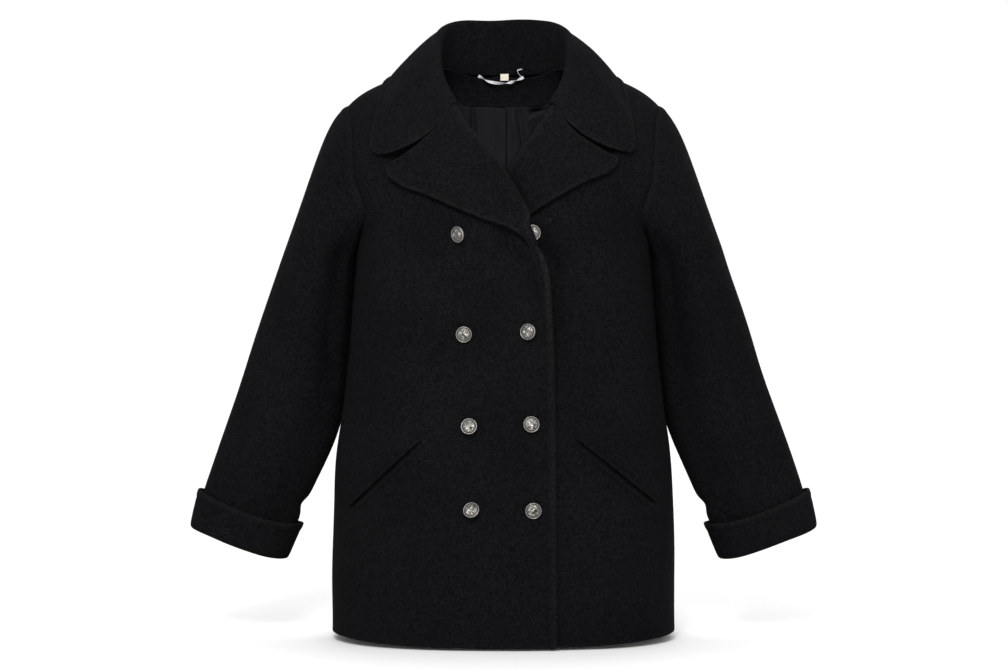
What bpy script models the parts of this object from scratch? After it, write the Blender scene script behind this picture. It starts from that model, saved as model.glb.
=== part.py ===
"""Double-breasted short overcoat in wool, hollow and filled out as when it is worn.

Metres, +Z up. The coat faces -Y, and +X is the wearer's left. The origin is the middle of the
neck at the height of the back neck seam. Each cut piece is a wall of cloth around the hollow.
The body's form is one function: side to side it is a rounded section, and above the underarm
each strip of it arches from the front over the shoulder seam to the back.
"""

import math

import bpy
import numpy as np
from mathutils import Matrix, Vector

# Cloth
WALL = 0.0025  # one layer of thick wool, with what is pressed behind it
SEAM_GAP = 0.0003
LAPEL_WALL = 0.0045  # front and facing together
COLLAR_WALL = 0.0040
CUFF_WALL = 0.0035
FACING_WALL = 0.0015
LINING_WALL = 0.0010
BACKING_GAP = 0.0006
EDGE_GAP = 0.0010  # where a facing or the lining stops short of an edge
SLEEVE_GAP = 0.0015  # at the armhole
LAPEL_GAP = 0.0021  # between a lapel and the front it lies on
ROLL_GAP = 0.0018  # between a lapel and the front's edge it starts from
COLLAR_GAP = 0.0025  # between the collar and the shoulders
LIP_GAP = 0.0011
BUTTON_GAP = 0.0015

# Body
HEM = -0.786
HEM_LIFT = 0.006  # how much higher the hem is at the side seams
UNDERARM = -0.229
BODY_MIDDLE = -0.005  # y of the side seams
SHOULDER_SEAM_Y = 0.012
BODY_POWER = 2.4  # 2 is an ellipse, more is squarer
ARCH_POWER = {-1: 1.7, 1: 2.3}  # front and back
YOKE_SPREAD = 0.0275  # how much wider the form is at the yoke than at the underarm
NECK_X = 0.088
BODY = (
    ("height", "half_width", "front", "back"),
    (
        (-0.786, 0.2360, 0.157, 0.150),
        (-0.610, 0.2345, 0.154, 0.144),
        (-0.530, 0.2285, 0.150, 0.138),
        (-0.460, 0.2180, 0.146, 0.130),
        (-0.390, 0.2125, 0.144, 0.124),
        (-0.320, 0.2075, 0.144, 0.121),
        (-0.229, 0.1985, 0.1435, 0.119),
    ),
)
SHOULDER = (
    ("x", "height"),
    ((0.0, 0.030), (0.088, 0.006), (0.130, -0.007), (0.170, -0.021), (0.200, -0.038), (0.230, -0.062)),
)

# The front's inner edge: hem, front edge, roll line of the lapel, then neckline
FRONT_EDGE = (
    ("height", "x"),
    (
        (-0.786, -0.0712),
        (-0.668, -0.0700),
        (-0.456, -0.0680),
        (-0.322, -0.0657),
        (-0.290, -0.0623),
        (-0.260, -0.0563),
        (-0.243, -0.0502),
        (-0.212, -0.0290),
        (-0.177, -0.0088),
        (-0.1465, 0.0100),
        (-0.119, 0.0297),
        (-0.082, 0.0570),
        (-0.055, 0.0715),
        (-0.028, 0.0800),
        (-0.004, 0.0865),
        (0.006, 0.0880),
    ),
)

# Armhole
SCOOP_SHARE = 0.4
SCOOP_RISE = 0.25
SCOOP_DEEP = math.radians(28.5)
SHOULDER_POINT = math.radians(73)

# Sleeve: rings from the upper arm to the wrist, and one past the fold of the cuff
SLEEVE = (
    ("ring", "x", "y", "z", "half_width", "half_depth", "tilt"),
    (
        (1, 0.2506, 0.003, -0.2557, 0.0525, 0.074, 21.0),
        (2, 0.2610, 0.013, -0.3010, 0.0565, 0.070, 21.0),
        (3, 0.2777, 0.026, -0.3874, 0.0670, 0.062, 21.0),
        (4, 0.3010, 0.027, -0.4725, 0.0710, 0.054, 21.0),
        (5, 0.3340, 0.017, -0.5550, 0.0675, 0.047, 20.0),
        (6, 0.3545, 0.008, -0.6120, 0.0645, 0.040, 17.5),
        (7, 0.3668, 0.004, -0.6500, 0.0630, 0.036, 19.0),
        (8, 0.3700, 0.004, -0.6580, 0.0625, 0.035, 19.5),
    ),
)
ARM_CLEARANCE = 0.0030
SLEEVE_START = (0.86, -0.08, -0.50)  # the way the cloth leaves the armhole
CUFF = (
    ("ring", "out"),
    ((6.00, 0.0068), (6.50, 0.0060), (7.00, 0.0046), (7.45, 0.0030), (7.47, -0.0030)),
)

# Lapels: the roll line, and the outer edge that goes with each place along it. radius and lift
# are those of the roll. The wearer's right lapel, on top, ends in a tongue over a button.
LAPEL_RIGHT = (
    ("along", "roll_x", "roll_z", "edge_x", "edge_z", "radius", "lift"),
    (
        (0.00, 0.0640, -0.0590, 0.1390, -0.1320, 0.0032, 0.00125),
        (0.06, 0.0600, -0.0665, 0.1508, -0.1450, 0.0032, 0.00125),
        (0.14, 0.0528, -0.0770, 0.1385, -0.1605, 0.0032, 0.00125),
        (0.30, 0.0360, -0.1000, 0.1045, -0.1770, 0.0032, 0.00125),
        (0.50, 0.0120, -0.1320, 0.0600, -0.1970, 0.0034, 0.00125),
        (0.70, -0.0125, -0.1690, 0.0220, -0.2120, 0.0038, 0.00125),
        (0.88, -0.0322, -0.2085, -0.0080, -0.2222, 0.0052, 0.00125),
        (0.93, -0.0362, -0.2160, -0.0195, -0.2290, 0.0030, 0.01100),
        (0.97, -0.0366, -0.2250, -0.0260, -0.2345, 0.0008, 0.01400),
        (1.00, -0.0362, -0.2370, -0.0325, -0.2410, 0.0003, 0.01420),
    ),
)
LAPEL_LEFT = (
    ("along", "roll_x", "roll_z", "edge_x", "edge_z", "radius", "lift"),
    (
        (0.00, 0.0650, -0.0600, 0.1440, -0.1240, 0.0032, 0.00125),
        (0.06, 0.0600, -0.0670, 0.1505, -0.1330, 0.0032, 0.00125),
        (0.14, 0.0528, -0.0770, 0.1390, -0.1450, 0.0032, 0.00125),
        (0.32, 0.0360, -0.1000, 0.1040, -0.1645, 0.0032, 0.00125),
        (0.55, 0.0120, -0.1320, 0.0640, -0.1865, 0.0032, 0.00125),
        (0.78, -0.0125, -0.1690, 0.0260, -0.2080, 0.0032, 0.00125),
        (1.00, -0.0335, -0.2120, -0.0160, -0.2270, 0.0032, 0.00125),
    ),
)
LAPEL_BOW = 0.005  # the sag of the top edge
LAPEL_EDGE_LIFT = 0.002
TONGUE = 0.88  # past this the wearer's right lapel leaves the front's edge

# Collar: from its front end (0) to the middle of the back (1)
COLLAR = (
    ("along", "seam_x", "seam_y", "seam_z", "roll_x", "roll_y", "roll_z", "edge_x", "edge_y", "edge_z"),
    (
        (0.00, 0.0665, -0.0850, -0.0515, 0.0660, -0.0950, -0.0470, 0.1640, -0.1000, -0.1255),
        (0.06, 0.0720, -0.0740, -0.0400, 0.0755, -0.0800, -0.0340, 0.1770, -0.0960, -0.1190),
        (0.16, 0.0790, -0.0585, -0.0250, 0.0845, -0.0560, -0.0100, 0.1800, -0.0880, -0.0980),
        (0.32, 0.0860, -0.0240, -0.0005, 0.0890, -0.0240, 0.0240, 0.1750, -0.0550, -0.0600),
        (0.48, 0.0880, 0.0120, 0.0095, 0.0865, 0.0080, 0.0480, 0.1670, 0.0060, -0.0180),
        (0.62, 0.0790, 0.0420, 0.0075, 0.0750, 0.0360, 0.0670, 0.1480, 0.0560, -0.0260),
        (0.80, 0.0480, 0.0615, 0.0045, 0.0470, 0.0600, 0.0775, 0.0850, 0.0800, -0.0200),
        (1.00, 0.0000, 0.0680, 0.0035, 0.0000, 0.0690, 0.0790, 0.0000, 0.0880, -0.0140),
    ),
)
COLLAR_ROLL = 0.0048
COLLAR_BULGE = 0.003
NOTCH_BOW = 0.018
LEFT_FALL = 0.965  # the wearer's left leaf is this much shorter than the right one

# Back neck facing, lining, hanger loop and tab
LOOP_RADIUS = 0.0014
LOOP = ((-0.0356, 0.0590, 0.0006), (-0.020, 0.0590, -0.0075), (0.0, 0.0585, -0.0100),
        (0.015, 0.0590, -0.0070), (0.0284, 0.0592, -0.0014))
TAB = (0.0114, 0.0006, 0.0093)
TAB_PLACE = (0.0014, 0.0640, -0.0010)

# Pockets: a slanting slit between two lips, upper inner end then lower outer end, as (x, z)
POCKETS = {"right": ((0.1100, -0.5107), (0.2080, -0.6035)), "left": ((0.0960, -0.5080), (0.2070, -0.5990))}
SLIT_HALF = 0.0022
LIP_WIDTH = 0.0070
LIP_WALL = 0.0016

# Buttons, as (x, z) on the wearer's right front, which lies on top
BUTTONS = (
    ("outer_1", 0.0582, -0.2345), ("outer_2", 0.0520, -0.3675),
    ("outer_3", 0.0453, -0.4914), ("outer_4", 0.0418, -0.6027),
    ("inner_1", -0.0382, -0.2325), ("inner_2", -0.0332, -0.3645),
    ("inner_3", -0.0364, -0.4882), ("inner_4", -0.0393, -0.6020),
)
BUTTON_PROFILE = ((0.0, 0.0062), (0.0082, 0.0046), (0.0099, 0.0051), (0.0114, 0.0036),
                  (0.0105, 0.0016), (0.0032, 0.0013), (0.0032, -0.0012), (0.0, -0.0012))
BUTTON_STEPS = 12  # around each button

# Grids
RIGHT_ANGLE = math.pi / 2
BODY_ROWS = (-0.786, -0.766, -0.690, -0.610, -0.530, -0.460, -0.390, -0.325, -0.285, -0.255, -0.229)
YOKE_ROWS = (0.12, 0.25, 0.38, 0.50, 0.62, 0.73, 0.86, 1.0)  # shares of the way up to the top edge
LINING_ROW = 1  # the lining starts a row above the hem
FACING_ROW = 16  # the back neck facing starts here
NECK_COLUMNS = 3  # on each half
FRONT_COLUMNS = 11
BACK_COLUMNS = 8  # on each half
SLEEVE_COLUMNS = 18

WOOL = ("wool", (0.0085, 0.0085, 0.0100), 0.95, 0.0)
WOOL_LIGHT = ("wool_collar", (0.0110, 0.0110, 0.0125), 0.95, 0.0)
SATIN = ("lining_satin", (0.0130, 0.0135, 0.0155), 0.45, 0.0)
NICKEL = ("button_metal", (0.55, 0.55, 0.57), 0.30, 1.0)
RIBBON = ("ribbon", (0.70, 0.71, 0.74), 0.50, 0.0)
CREAM = ("tab", (0.80, 0.76, 0.66), 0.80, 0.0)


# ---- curves and measures ----

def curve_at(table, column, where):
    """The column's value along the table's first column, on a smooth curve through the rows."""
    names, rows = table
    values = np.array(rows, float)
    knots, heights = values[:, 0], values[:, names.index(column)]
    slopes = np.gradient(heights, knots)
    where = np.clip(where, knots[0], knots[-1])
    left = np.clip(np.searchsorted(knots, where, side="right") - 1, 0, len(knots) - 2)
    width = knots[left + 1] - knots[left]
    t = (where - knots[left]) / width
    rise = heights[left + 1] - heights[left]
    ends = slopes[left] * width * t * (1 - t) ** 2 - slopes[left + 1] * width * t * t * (1 - t)
    return heights[left] + rise * t * t * (3 - 2 * t) + ends


def columns_at(table, columns, where):
    """Several columns of a table at once, as points."""
    return np.stack([curve_at(table, column, where) for column in columns], -1)


def power(value, exponent):
    return np.sign(value) * np.abs(value) ** exponent


def ease(value):
    value = np.clip(value, 0, 1)
    return value * value * (3 - 2 * value)


def unit(vectors):
    return vectors / np.linalg.norm(vectors, axis=-1, keepdims=True)


# ---- the body's form ----

def shoulder_height(x):
    return curve_at(SHOULDER, "height", np.abs(x))


def half_width(height, climb):
    return curve_at(BODY, "half_width", height) + YOKE_SPREAD * ease(climb / 0.45)


def torso(side, theta, rise):
    """A point of the body's inner face. side is -1 at the front and 1 at the back; theta goes from
    the centre line (0) to the side seam (a right angle); rise goes from the hem (0) past the
    underarm (1) to the shoulder seam (2)."""
    theta, rise = np.broadcast_arrays(theta, rise)
    height = HEM + (UNDERARM - HEM) * np.clip(rise, 0, 1)
    turn = np.clip(rise - 1, 0, 1) * RIGHT_ANGLE
    climb = np.sin(turn) ** (2 / ARCH_POWER[side])
    reach = np.clip(np.cos(turn), 0, 1) ** (2 / ARCH_POWER[side])
    depth = curve_at(BODY, "front" if side < 0 else "back", height)
    x = half_width(height, climb) * power(np.sin(theta), 2 / BODY_POWER)
    foot = BODY_MIDDLE + side * depth * np.clip(np.cos(theta), 0, 1) ** (2 / BODY_POWER)
    y = SHOULDER_SEAM_Y + (foot - SHOULDER_SEAM_Y) * reach
    return np.stack([x, y, height + climb * (shoulder_height(x) - UNDERARM)], -1)


def place(side, x, z):
    """theta and rise of the body's point at this width and height: torso the other way round."""
    climb = np.clip((z - UNDERARM) / (shoulder_height(x) - UNDERARM), 0, 1)
    turn = np.arcsin(climb ** (ARCH_POWER[side] / 2))
    low = np.clip((z - HEM) / (UNDERARM - HEM), 0, 1)
    share = np.clip(x / half_width(np.minimum(z, UNDERARM), climb), -1, 1)
    return np.arcsin(power(share, BODY_POWER / 2)), low + turn / RIGHT_ANGLE


def armhole(side, v):
    """theta and rise along the armhole, from the underarm (0) to the shoulder point (1)."""
    scoop = np.clip(v / SCOOP_SHARE, 0, 1) * RIGHT_ANGLE
    up = np.clip((v - SCOOP_SHARE) / (1 - SCOOP_SHARE), 0, 1)
    narrow = RIGHT_ANGLE - SCOOP_DEEP
    theta = RIGHT_ANGLE - SCOOP_DEEP * np.sin(scoop) + (SHOULDER_POINT - narrow) * up ** 1.7
    climb = SCOOP_RISE * (1 - np.cos(scoop))
    turn = np.arcsin(climb ** (ARCH_POWER[side] / 2))
    return theta, 1 + turn / RIGHT_ANGLE + (1 - turn / RIGHT_ANGLE) * up


def cover_depth(x, z):
    """How far the wearer's left front is pressed in under the right one: by one wall where it is
    covered, and by more where its own lapel is covered too."""
    other_edge = -curve_at(FRONT_EDGE, "x", z)
    covered = 1 - ease((x - other_edge - 0.004) / 0.075)
    lapel = ease((z + 0.320) / 0.070) * (1 - ease((z + 0.140) / 0.085))
    return covered * (0.0034 + 0.0105 * lapel)


def on_front(x, z, lift, under=False):
    """A point above the front's inner face: lift is measured along the outward normal."""
    step = 0.0005
    here = torso(-1, *place(-1, x, z))
    across = torso(-1, *place(-1, x + step, z)) - here
    upward = torso(-1, *place(-1, x, z + step)) - here
    normal = unit(np.cross(across, upward))
    if under:
        lift = lift - cover_depth(x, z)
    return here + normal * np.asarray(lift)[..., None]


# ---- grids and meshes ----

def grid_normals(points):
    """The unit normal at each point of a grid, from the directions along its rows and columns."""
    down, across = np.gradient(points, axis=(0, 1))
    return unit(np.cross(across, down) + 1e-12)


def moved(points, distance):
    return points + grid_normals(points) * distance


def inset(points, first_row=0.0, last_row=0.0, first_column=0.0, last_column=0.0):
    """The grid with its edges drawn in along the cloth, which leaves the gaps at the seams."""
    points = points.copy()
    edges = ((points[0], points[1], first_row), (points[-1], points[-2], last_row),
             (points[:, 0], points[:, 1], first_column), (points[:, -1], points[:, -2], last_column))
    for edge, inner, gap in edges:
        edge += unit(inner - edge + 1e-12) * gap
    return points


def material(finish):
    name, color, roughness, metallic = finish
    found = bpy.data.materials.get(name)
    if found:
        return found
    made = bpy.data.materials.new(name)
    made.use_nodes = True
    shader = made.node_tree.nodes["Principled BSDF"]
    shader.inputs["Base Color"].default_value = (*color, 1.0)
    shader.inputs["Roughness"].default_value = roughness
    shader.inputs["Metallic"].default_value = metallic
    return made


def add_object(name, data, finish):
    made = bpy.data.objects.new(name, data)
    coat.objects.link(made)
    data.materials.append(material(finish))
    return made


def add_sheet(name, points, wall, finish, hand=1, offset=1.0, ring=False, kept=None):
    """A sheet of cloth through a grid of points, given its wall by Solidify. hand -1 mirrors it to
    the wearer's right; ring joins the last column to the first; kept marks the faces that are
    cloth, where some aren't."""
    rows, columns = points.shape[:2]
    corners = np.arange(rows * columns).reshape(rows, columns)
    if ring:
        corners = np.hstack([corners, corners[:, :1]])
    faces = np.stack([corners[:-1, :-1], corners[:-1, 1:], corners[1:, 1:], corners[1:, :-1]], -1)
    if kept is not None:
        faces = faces[kept]
    faces = faces.reshape(-1, 4)
    if hand < 0:
        faces = faces[:, ::-1]
    used, faces = np.unique(faces, return_inverse=True)
    flat = (points * (hand, 1, 1)).reshape(-1, 3)[used]
    mesh = bpy.data.meshes.new(name)
    mesh.from_pydata(flat.tolist(), [], faces.reshape(-1, 4).tolist())
    mesh.shade_smooth()
    made = add_object(name, mesh, finish)
    solid = made.modifiers.new("Wall", "SOLIDIFY")
    solid.thickness = wall
    solid.offset = offset
    return made


# ---- cut pieces ----

def front_rows():
    """theta and rise at both ends of each row of the front, from the hem to the shoulder seam."""
    low = (np.array(BODY_ROWS) - HEM) / (UNDERARM - HEM)
    up = np.array(YOKE_ROWS)
    rise = np.concatenate([low, 1 + up])
    climb = np.sin(np.clip(rise - 1, 0, 1) * RIGHT_ANGLE) ** (2 / ARCH_POWER[-1])
    height = HEM + (UNDERARM - HEM) * np.clip(rise, 0, 1)
    edge = curve_at(FRONT_EDGE, "x", height)
    for _ in range(20):
        edge = curve_at(FRONT_EDGE, "x", height + climb * (shoulder_height(edge) - UNDERARM))
    inner = place(-1, edge, height + climb * (shoulder_height(edge) - UNDERARM))[0]
    side, side_rise = armhole(-1, up)
    outer = np.concatenate([np.full(len(low), RIGHT_ANGLE), side])
    return inner, rise, outer, np.concatenate([low, side_rise])


def lifted_hem(theta, rise):
    """rise with its first row higher towards the side seams."""
    rise = rise.copy()
    rise[0] += HEM_LIFT / (UNDERARM - HEM) * np.sin(theta[0]) ** 4
    return rise


def front_grid(under=False):
    inner, inner_rise, outer, outer_rise = front_rows()
    across = np.linspace(0, 1, FRONT_COLUMNS + 1) ** 1.2
    theta = inner[:, None] + (outer - inner)[:, None] * across
    rise = lifted_hem(theta, inner_rise[:, None] + (outer_rise - inner_rise)[:, None] * across)
    points = torso(-1, theta, rise)
    if under:
        depth = cover_depth(points[..., 0], points[..., 2])
        points = points - grid_normals(points) * depth[..., None]
    return inset(points, last_row=SEAM_GAP, last_column=SEAM_GAP)


def back_grid():
    """The back, mirrored about its middle. Its top edge is the neckline, then the shoulder seam."""
    low = (np.array(BODY_ROWS) - HEM) / (UNDERARM - HEM)
    up = np.array(YOKE_ROWS)
    side, side_rise = armhole(1, up)
    neck_share = float(place(1, np.array(NECK_X), np.array(0.006))[0]) / SHOULDER_POINT
    neck_rise = float(place(1, np.array(0.0), np.array(0.0))[1])
    outer = np.linspace(neck_share, 1, BACK_COLUMNS - NECK_COLUMNS + 1)[1:]
    across = np.concatenate([np.linspace(0, neck_share, NECK_COLUMNS + 1), outer])
    top = neck_rise + (2 - neck_rise) * np.clip(across / neck_share, 0, 1) ** 2.2
    share = up[:, None] + (side_rise - 1 - up)[:, None] * across
    theta = np.vstack([np.outer(np.full(len(low), RIGHT_ANGLE), across), np.outer(side, across)])
    rise = lifted_hem(theta, np.vstack([np.outer(low, np.ones(len(across))), 1 + share * (top - 1)]))
    half = inset(torso(1, theta, rise), last_row=SEAM_GAP, last_column=SEAM_GAP)
    return np.hstack([half[:, ::-1], half[:, 1:] * (-1, 1, 1)])


def armhole_ring(phi):
    """Points around the armhole with the body's normal there: phi 0 is the shoulder point, a
    quarter turn the front and a half turn the underarm."""
    front = phi <= math.pi
    v = np.where(front, 1 - phi / math.pi, phi / math.pi - 1)
    points, normals = np.zeros((len(phi), 3)), np.zeros((len(phi), 3))
    for side, chosen in ((-1, front), (1, ~front)):
        theta, rise = armhole(side, v[chosen])
        here = torso(side, theta, rise)
        across = here - torso(side, theta - 0.01, rise)
        upward = here - torso(side, theta, rise - 0.01)
        points[chosen] = here
        normals[chosen] = unit(np.cross(across, upward)) * -side
    return points, normals


def sleeve_ring(ring, phi, out=0.0):
    """A ring of the sleeve: an ellipse square to the sleeve's tilt."""
    centre = columns_at(SLEEVE, ("x", "y", "z"), ring)
    tilt = np.radians(curve_at(SLEEVE, "tilt", ring))
    wide = (curve_at(SLEEVE, "half_width", ring) + out) * np.cos(phi)
    deep = (curve_at(SLEEVE, "half_depth", ring) + out) * np.sin(phi)
    return centre + np.stack([wide * np.cos(tilt), -deep, wide * np.sin(tilt)], -1)


def clear_of_side(points, clearance):
    """Points moved sideways where they are too near the body, below the underarm."""
    x, y, z = points[..., 0], points[..., 1], points[..., 2]
    height = np.minimum(z, UNDERARM)
    depth = np.where(y < BODY_MIDDLE, curve_at(BODY, "front", height), curve_at(BODY, "back", height))
    share = np.clip(np.abs(y - BODY_MIDDLE) / depth, 0, 1)
    limit = half_width(height, 0.0) * (1 - share ** BODY_POWER) ** (1 / BODY_POWER) + 2 * WALL + clearance
    limit = np.where(z > UNDERARM + 0.006, -1.0, limit)
    soft = 0.5 * (x + limit + np.sqrt((x - limit) ** 2 + 0.006 ** 2))
    return np.stack([np.maximum(soft, limit), y, z], -1)


def sleeve_grid():
    """Rows from the armhole to the wrist. Above the upper arm each line is a cubic that leaves
    the armhole outwards and reaches the first ring along the arm."""
    phi = np.linspace(0, 2 * math.pi, SLEEVE_COLUMNS, endpoint=False)
    start, normal = armhole_ring(phi)
    way = unit(np.array(SLEEVE_START) * np.stack([np.ones_like(phi), np.sin(phi), np.ones_like(phi)], -1))
    facing = np.clip((normal * way).sum(-1), 0, 1)
    start = start + way * (SLEEVE_GAP + WALL * facing)[:, None]
    end = sleeve_ring(1.0, phi)
    arm = np.array([math.sin(math.radians(20)), 0.06, -math.cos(math.radians(20))])
    length = np.linalg.norm(end - start, axis=-1)[:, None]
    rows = []
    for t in (0, 0.1, 0.25, 0.45, 0.7):
        rows.append(
            start * (1 - t) ** 2 * (1 + 2 * t) + end * t * t * (3 - 2 * t)
            + way * length * 0.5 * t * (1 - t) ** 2 - arm * length * 1.45 * t * t * (1 - t)
        )
    rows += [sleeve_ring(ring, phi) for ring in (1, 1.7, 2.5, 3.2, 4, 4.7, 5.4, 6.2, 7)]
    points = np.array(rows)
    clearance = SEAM_GAP + ARM_CLEARANCE * ease((UNDERARM - points[..., 2]) / 0.05)
    return clear_of_side(points, clearance)


def cuff_grid():
    """The turn-back: it stands off the sleeve, folds under at the wrist and ends inside."""
    phi = np.linspace(0, 2 * math.pi, SLEEVE_COLUMNS, endpoint=False)
    return np.array([sleeve_ring(ring, phi, out) for ring, out in CUFF[1]])


def lapel_grid(table, under=False):
    """Rows run down the roll line; columns start at the front's edge, turn over the roll and lie
    on the front out to the lapel's edge."""
    last = 1.0 if under else TONGUE
    along = np.array([0.0, 0.07, 0.16, 0.30, 0.44, 0.58, 0.72, 0.86, 1.0]) * last
    if not under:
        along = np.concatenate([along, [0.93, 0.97, 1.0]])
    roll = columns_at(table, ("roll_x", "roll_z"), along)
    on_edge = curve_at(FRONT_EDGE, "x", roll[:, 1])
    roll[:, 0] = np.where(along > last, roll[:, 0], on_edge)
    edge = columns_at(table, ("edge_x", "edge_z"), along)
    radius = curve_at(table, "radius", along)[:, None]
    foot = curve_at(table, "lift", along)[:, None]
    down = unit(np.gradient(roll, axis=0))
    away = np.stack([down[:, 1], -down[:, 0]], -1)
    turn = np.radians(np.array([-90, -35, 20, 60, 90]))
    out = (ROLL_GAP + radius * np.cos(turn)) * np.where(along > last, 0.4, 1.0)[:, None]
    lift = foot + radius * (1 + np.sin(turn))
    curl = roll[:, None] + away[:, None] * out[..., None]
    share = np.linspace(0, 1, 7)[1:]
    flat = roll[:, None] + (edge - roll)[:, None] * share[:, None]
    bow = LAPEL_BOW * np.sin(math.pi * share ** 0.6) * np.exp(-along / 0.08)[:, None]
    flat[..., 1] -= bow
    rest = WALL + LAPEL_WALL / 2 + LAPEL_GAP
    settled = 1 - ease(share / 0.5) * (1 - ease((along - 0.82) / 0.06))[:, None]
    flat_lift = rest + (lift[:, -1:] - rest) * settled + LAPEL_EDGE_LIFT * share ** 3
    plan = np.concatenate([curl, flat], axis=1)
    height = np.concatenate([lift, flat_lift], axis=1)
    points = on_front(plan[..., 0], plan[..., 1], height, under)
    return points[::-1]


def clear_of_shoulders(points, clearance):
    """Points moved out from the middle of the chest where they are too near the yoke."""
    x, y, z = points[..., 0], points[..., 1], points[..., 2]
    front = y < SHOULDER_SEAM_Y
    bend = np.where(front, ARCH_POWER[-1], ARCH_POWER[1])
    wide = half_width(UNDERARM, 1.0)
    depth = np.where(front, -curve_at(BODY, "front", UNDERARM), curve_at(BODY, "back", UNDERARM))
    share = np.clip(np.abs(x) / wide, 0, 1)
    foot = BODY_MIDDLE + depth * (1 - share ** BODY_POWER) ** (1 / BODY_POWER)
    high = shoulder_height(x) - UNDERARM + clearance
    deep = np.abs(foot - SHOULDER_SEAM_Y) + clearance
    size = np.abs((z - UNDERARM) / high) ** bend + np.abs((y - SHOULDER_SEAM_Y) / deep) ** bend
    size = size ** (1 / bend)
    push = np.maximum(1, 1 / size)
    return np.stack([x, SHOULDER_SEAM_Y + (y - SHOULDER_SEAM_Y) * push, UNDERARM + (z - UNDERARM) * push], -1)


def collar_grid():
    """Each column of the collar rises from the neck seam, turns over the roll and falls to the
    outer edge. The second half is the mirror of the first, with a shorter fall at the front."""
    along = np.array([0.0, 0.03, 0.07, 0.13, 0.22, 0.34, 0.44, 0.50, 0.56, 0.63, 0.72, 0.85, 1.0])
    seam = columns_at(COLLAR, ("seam_x", "seam_y", "seam_z"), along)
    roll = columns_at(COLLAR, ("roll_x", "roll_y", "roll_z"), along)
    edge = columns_at(COLLAR, ("edge_x", "edge_y", "edge_z"), along)
    way = unit(np.gradient(roll, axis=0))
    way[-1] = (-1, 0, 0)
    outward = unit(np.stack([-way[:, 1], way[:, 0], np.zeros(len(along))], -1)) * -1
    upward = np.cross(outward, way)
    upward *= np.sign(upward[:, 2:])
    centre = roll - upward * COLLAR_ROLL
    columns = []
    inner = centre - outward * COLLAR_ROLL
    for share in (0.0, 0.5):
        columns.append(seam + (inner - seam) * share)
    for turn in np.radians([0, 50, 90, 130, 180]):
        columns.append(centre + COLLAR_ROLL * (upward * math.sin(turn) - outward * math.cos(turn)))
    start = centre + outward * COLLAR_ROLL
    side = unit(np.cross(edge - start, way))
    side *= np.sign((side * (outward + upward)).sum(-1, keepdims=True))
    halves = []
    for shorter in (0.0, 1 - LEFT_FALL):
        reach = (1 - shorter * (1 - ease(along / 0.8)))[:, None]
        fall = []
        for share in (0.2, 0.4, 0.6, 0.8, 1.0):
            bulge = COLLAR_BULGE * math.sin(math.pi * share ** 0.7) * ease(along / 0.35)[:, None]
            bow = NOTCH_BOW * math.sin(math.pi * share ** 0.55) * np.exp(-along / 0.06)[:, None]
            points = start + (edge - start) * share * reach + side * bulge - np.array([0, 0, 1]) * bow
            fall.append(clear_of_shoulders(points, WALL + COLLAR_WALL / 2 + COLLAR_GAP))
        halves.append(np.array(columns + fall))
    return np.hstack([halves[0] * (-1, 1, 1), halves[1][:, -2::-1]])


def neck_columns(points):
    middle = points.shape[1] // 2
    return slice(middle - NECK_COLUMNS, middle + NECK_COLUMNS + 1)


def facing_grid(back):
    """The wool facing inside the back of the neck: the back's top rows, moved in."""
    points = moved(back, -BACKING_GAP)[FACING_ROW:, neck_columns(back)]
    return inset(points, EDGE_GAP, EDGE_GAP, EDGE_GAP, EDGE_GAP)


def lining_grid(back):
    """The back lining, from just above the hem: the back's rows, moved in."""
    points = moved(back, -BACKING_GAP)[LINING_ROW:]
    return inset(points, last_row=EDGE_GAP, first_column=EDGE_GAP, last_column=EDGE_GAP)


def lining_faces(back):
    """Which faces of the lining are cloth: all but the place of the back neck facing."""
    kept = np.ones((back.shape[0] - LINING_ROW - 1, back.shape[1] - 1), bool)
    neck = neck_columns(back)
    kept[FACING_ROW - LINING_ROW:, neck.start:neck.stop - 1] = False
    return kept


# ---- small pieces ----

def pocket_grid(ends, under):
    """A flat ring of cloth around the slit: its inner loop is the opening and its outer loop
    the edge of the lips."""
    (x0, z0), (x1, z1) = ends
    middle = np.array([(x0 + x1) / 2, (z0 + z1) / 2])
    half = np.array([(x1 - x0) / 2, (z1 - z0) / 2])
    length = np.linalg.norm(half)
    along = half / length
    aside = np.array([-along[1], along[0]])
    one_way = np.linspace(-1, 1, 11)
    share = np.concatenate([one_way, one_way[-2:0:-1]])
    upper = np.where(np.arange(len(share)) < len(one_way), 1, -1)
    rows = []
    for reach, width in ((length - 0.002, SLIT_HALF), (length + 0.004, SLIT_HALF + LIP_WIDTH)):
        plan = middle + np.outer(share * reach, along)
        plan = plan + np.outer(upper * (1 - share ** 6) ** 0.5 * width, aside)
        rows.append(on_front(plan[:, 0], plan[:, 1], np.full(len(share), WALL + LIP_GAP), under))
    return np.array(rows)


def add_button(name, mesh, x, z):
    """A button on the wearer's right front, square to the cloth, with its shank just clear of it."""
    low = on_front(np.array(x), np.array(z), np.array(WALL + BUTTON_GAP))
    high = on_front(np.array(x), np.array(z), np.array(WALL + BUTTON_GAP + 0.01))
    way = Vector(unit(high - low) * (-1, 1, 1))
    made = bpy.data.objects.new(name, mesh)
    coat.objects.link(made)
    turn = Vector((0, 0, 1)).rotation_difference(way)
    made.location = Vector(low * (-1, 1, 1))
    made.rotation_mode = "QUATERNION"
    made.rotation_quaternion = turn
    screw = made.modifiers.new("Turn", "SCREW")
    screw.steps = screw.render_steps = BUTTON_STEPS
    screw.use_merge_vertices = True
    screw.merge_threshold = 0.00001
    return made


def button_mesh():
    mesh = bpy.data.meshes.new("button")
    points = [(r, 0.0, h) for r, h in BUTTON_PROFILE]
    mesh.from_pydata(points, [(i, i + 1) for i in range(len(points) - 1)], [])
    mesh.materials.append(material(NICKEL))
    return mesh


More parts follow.
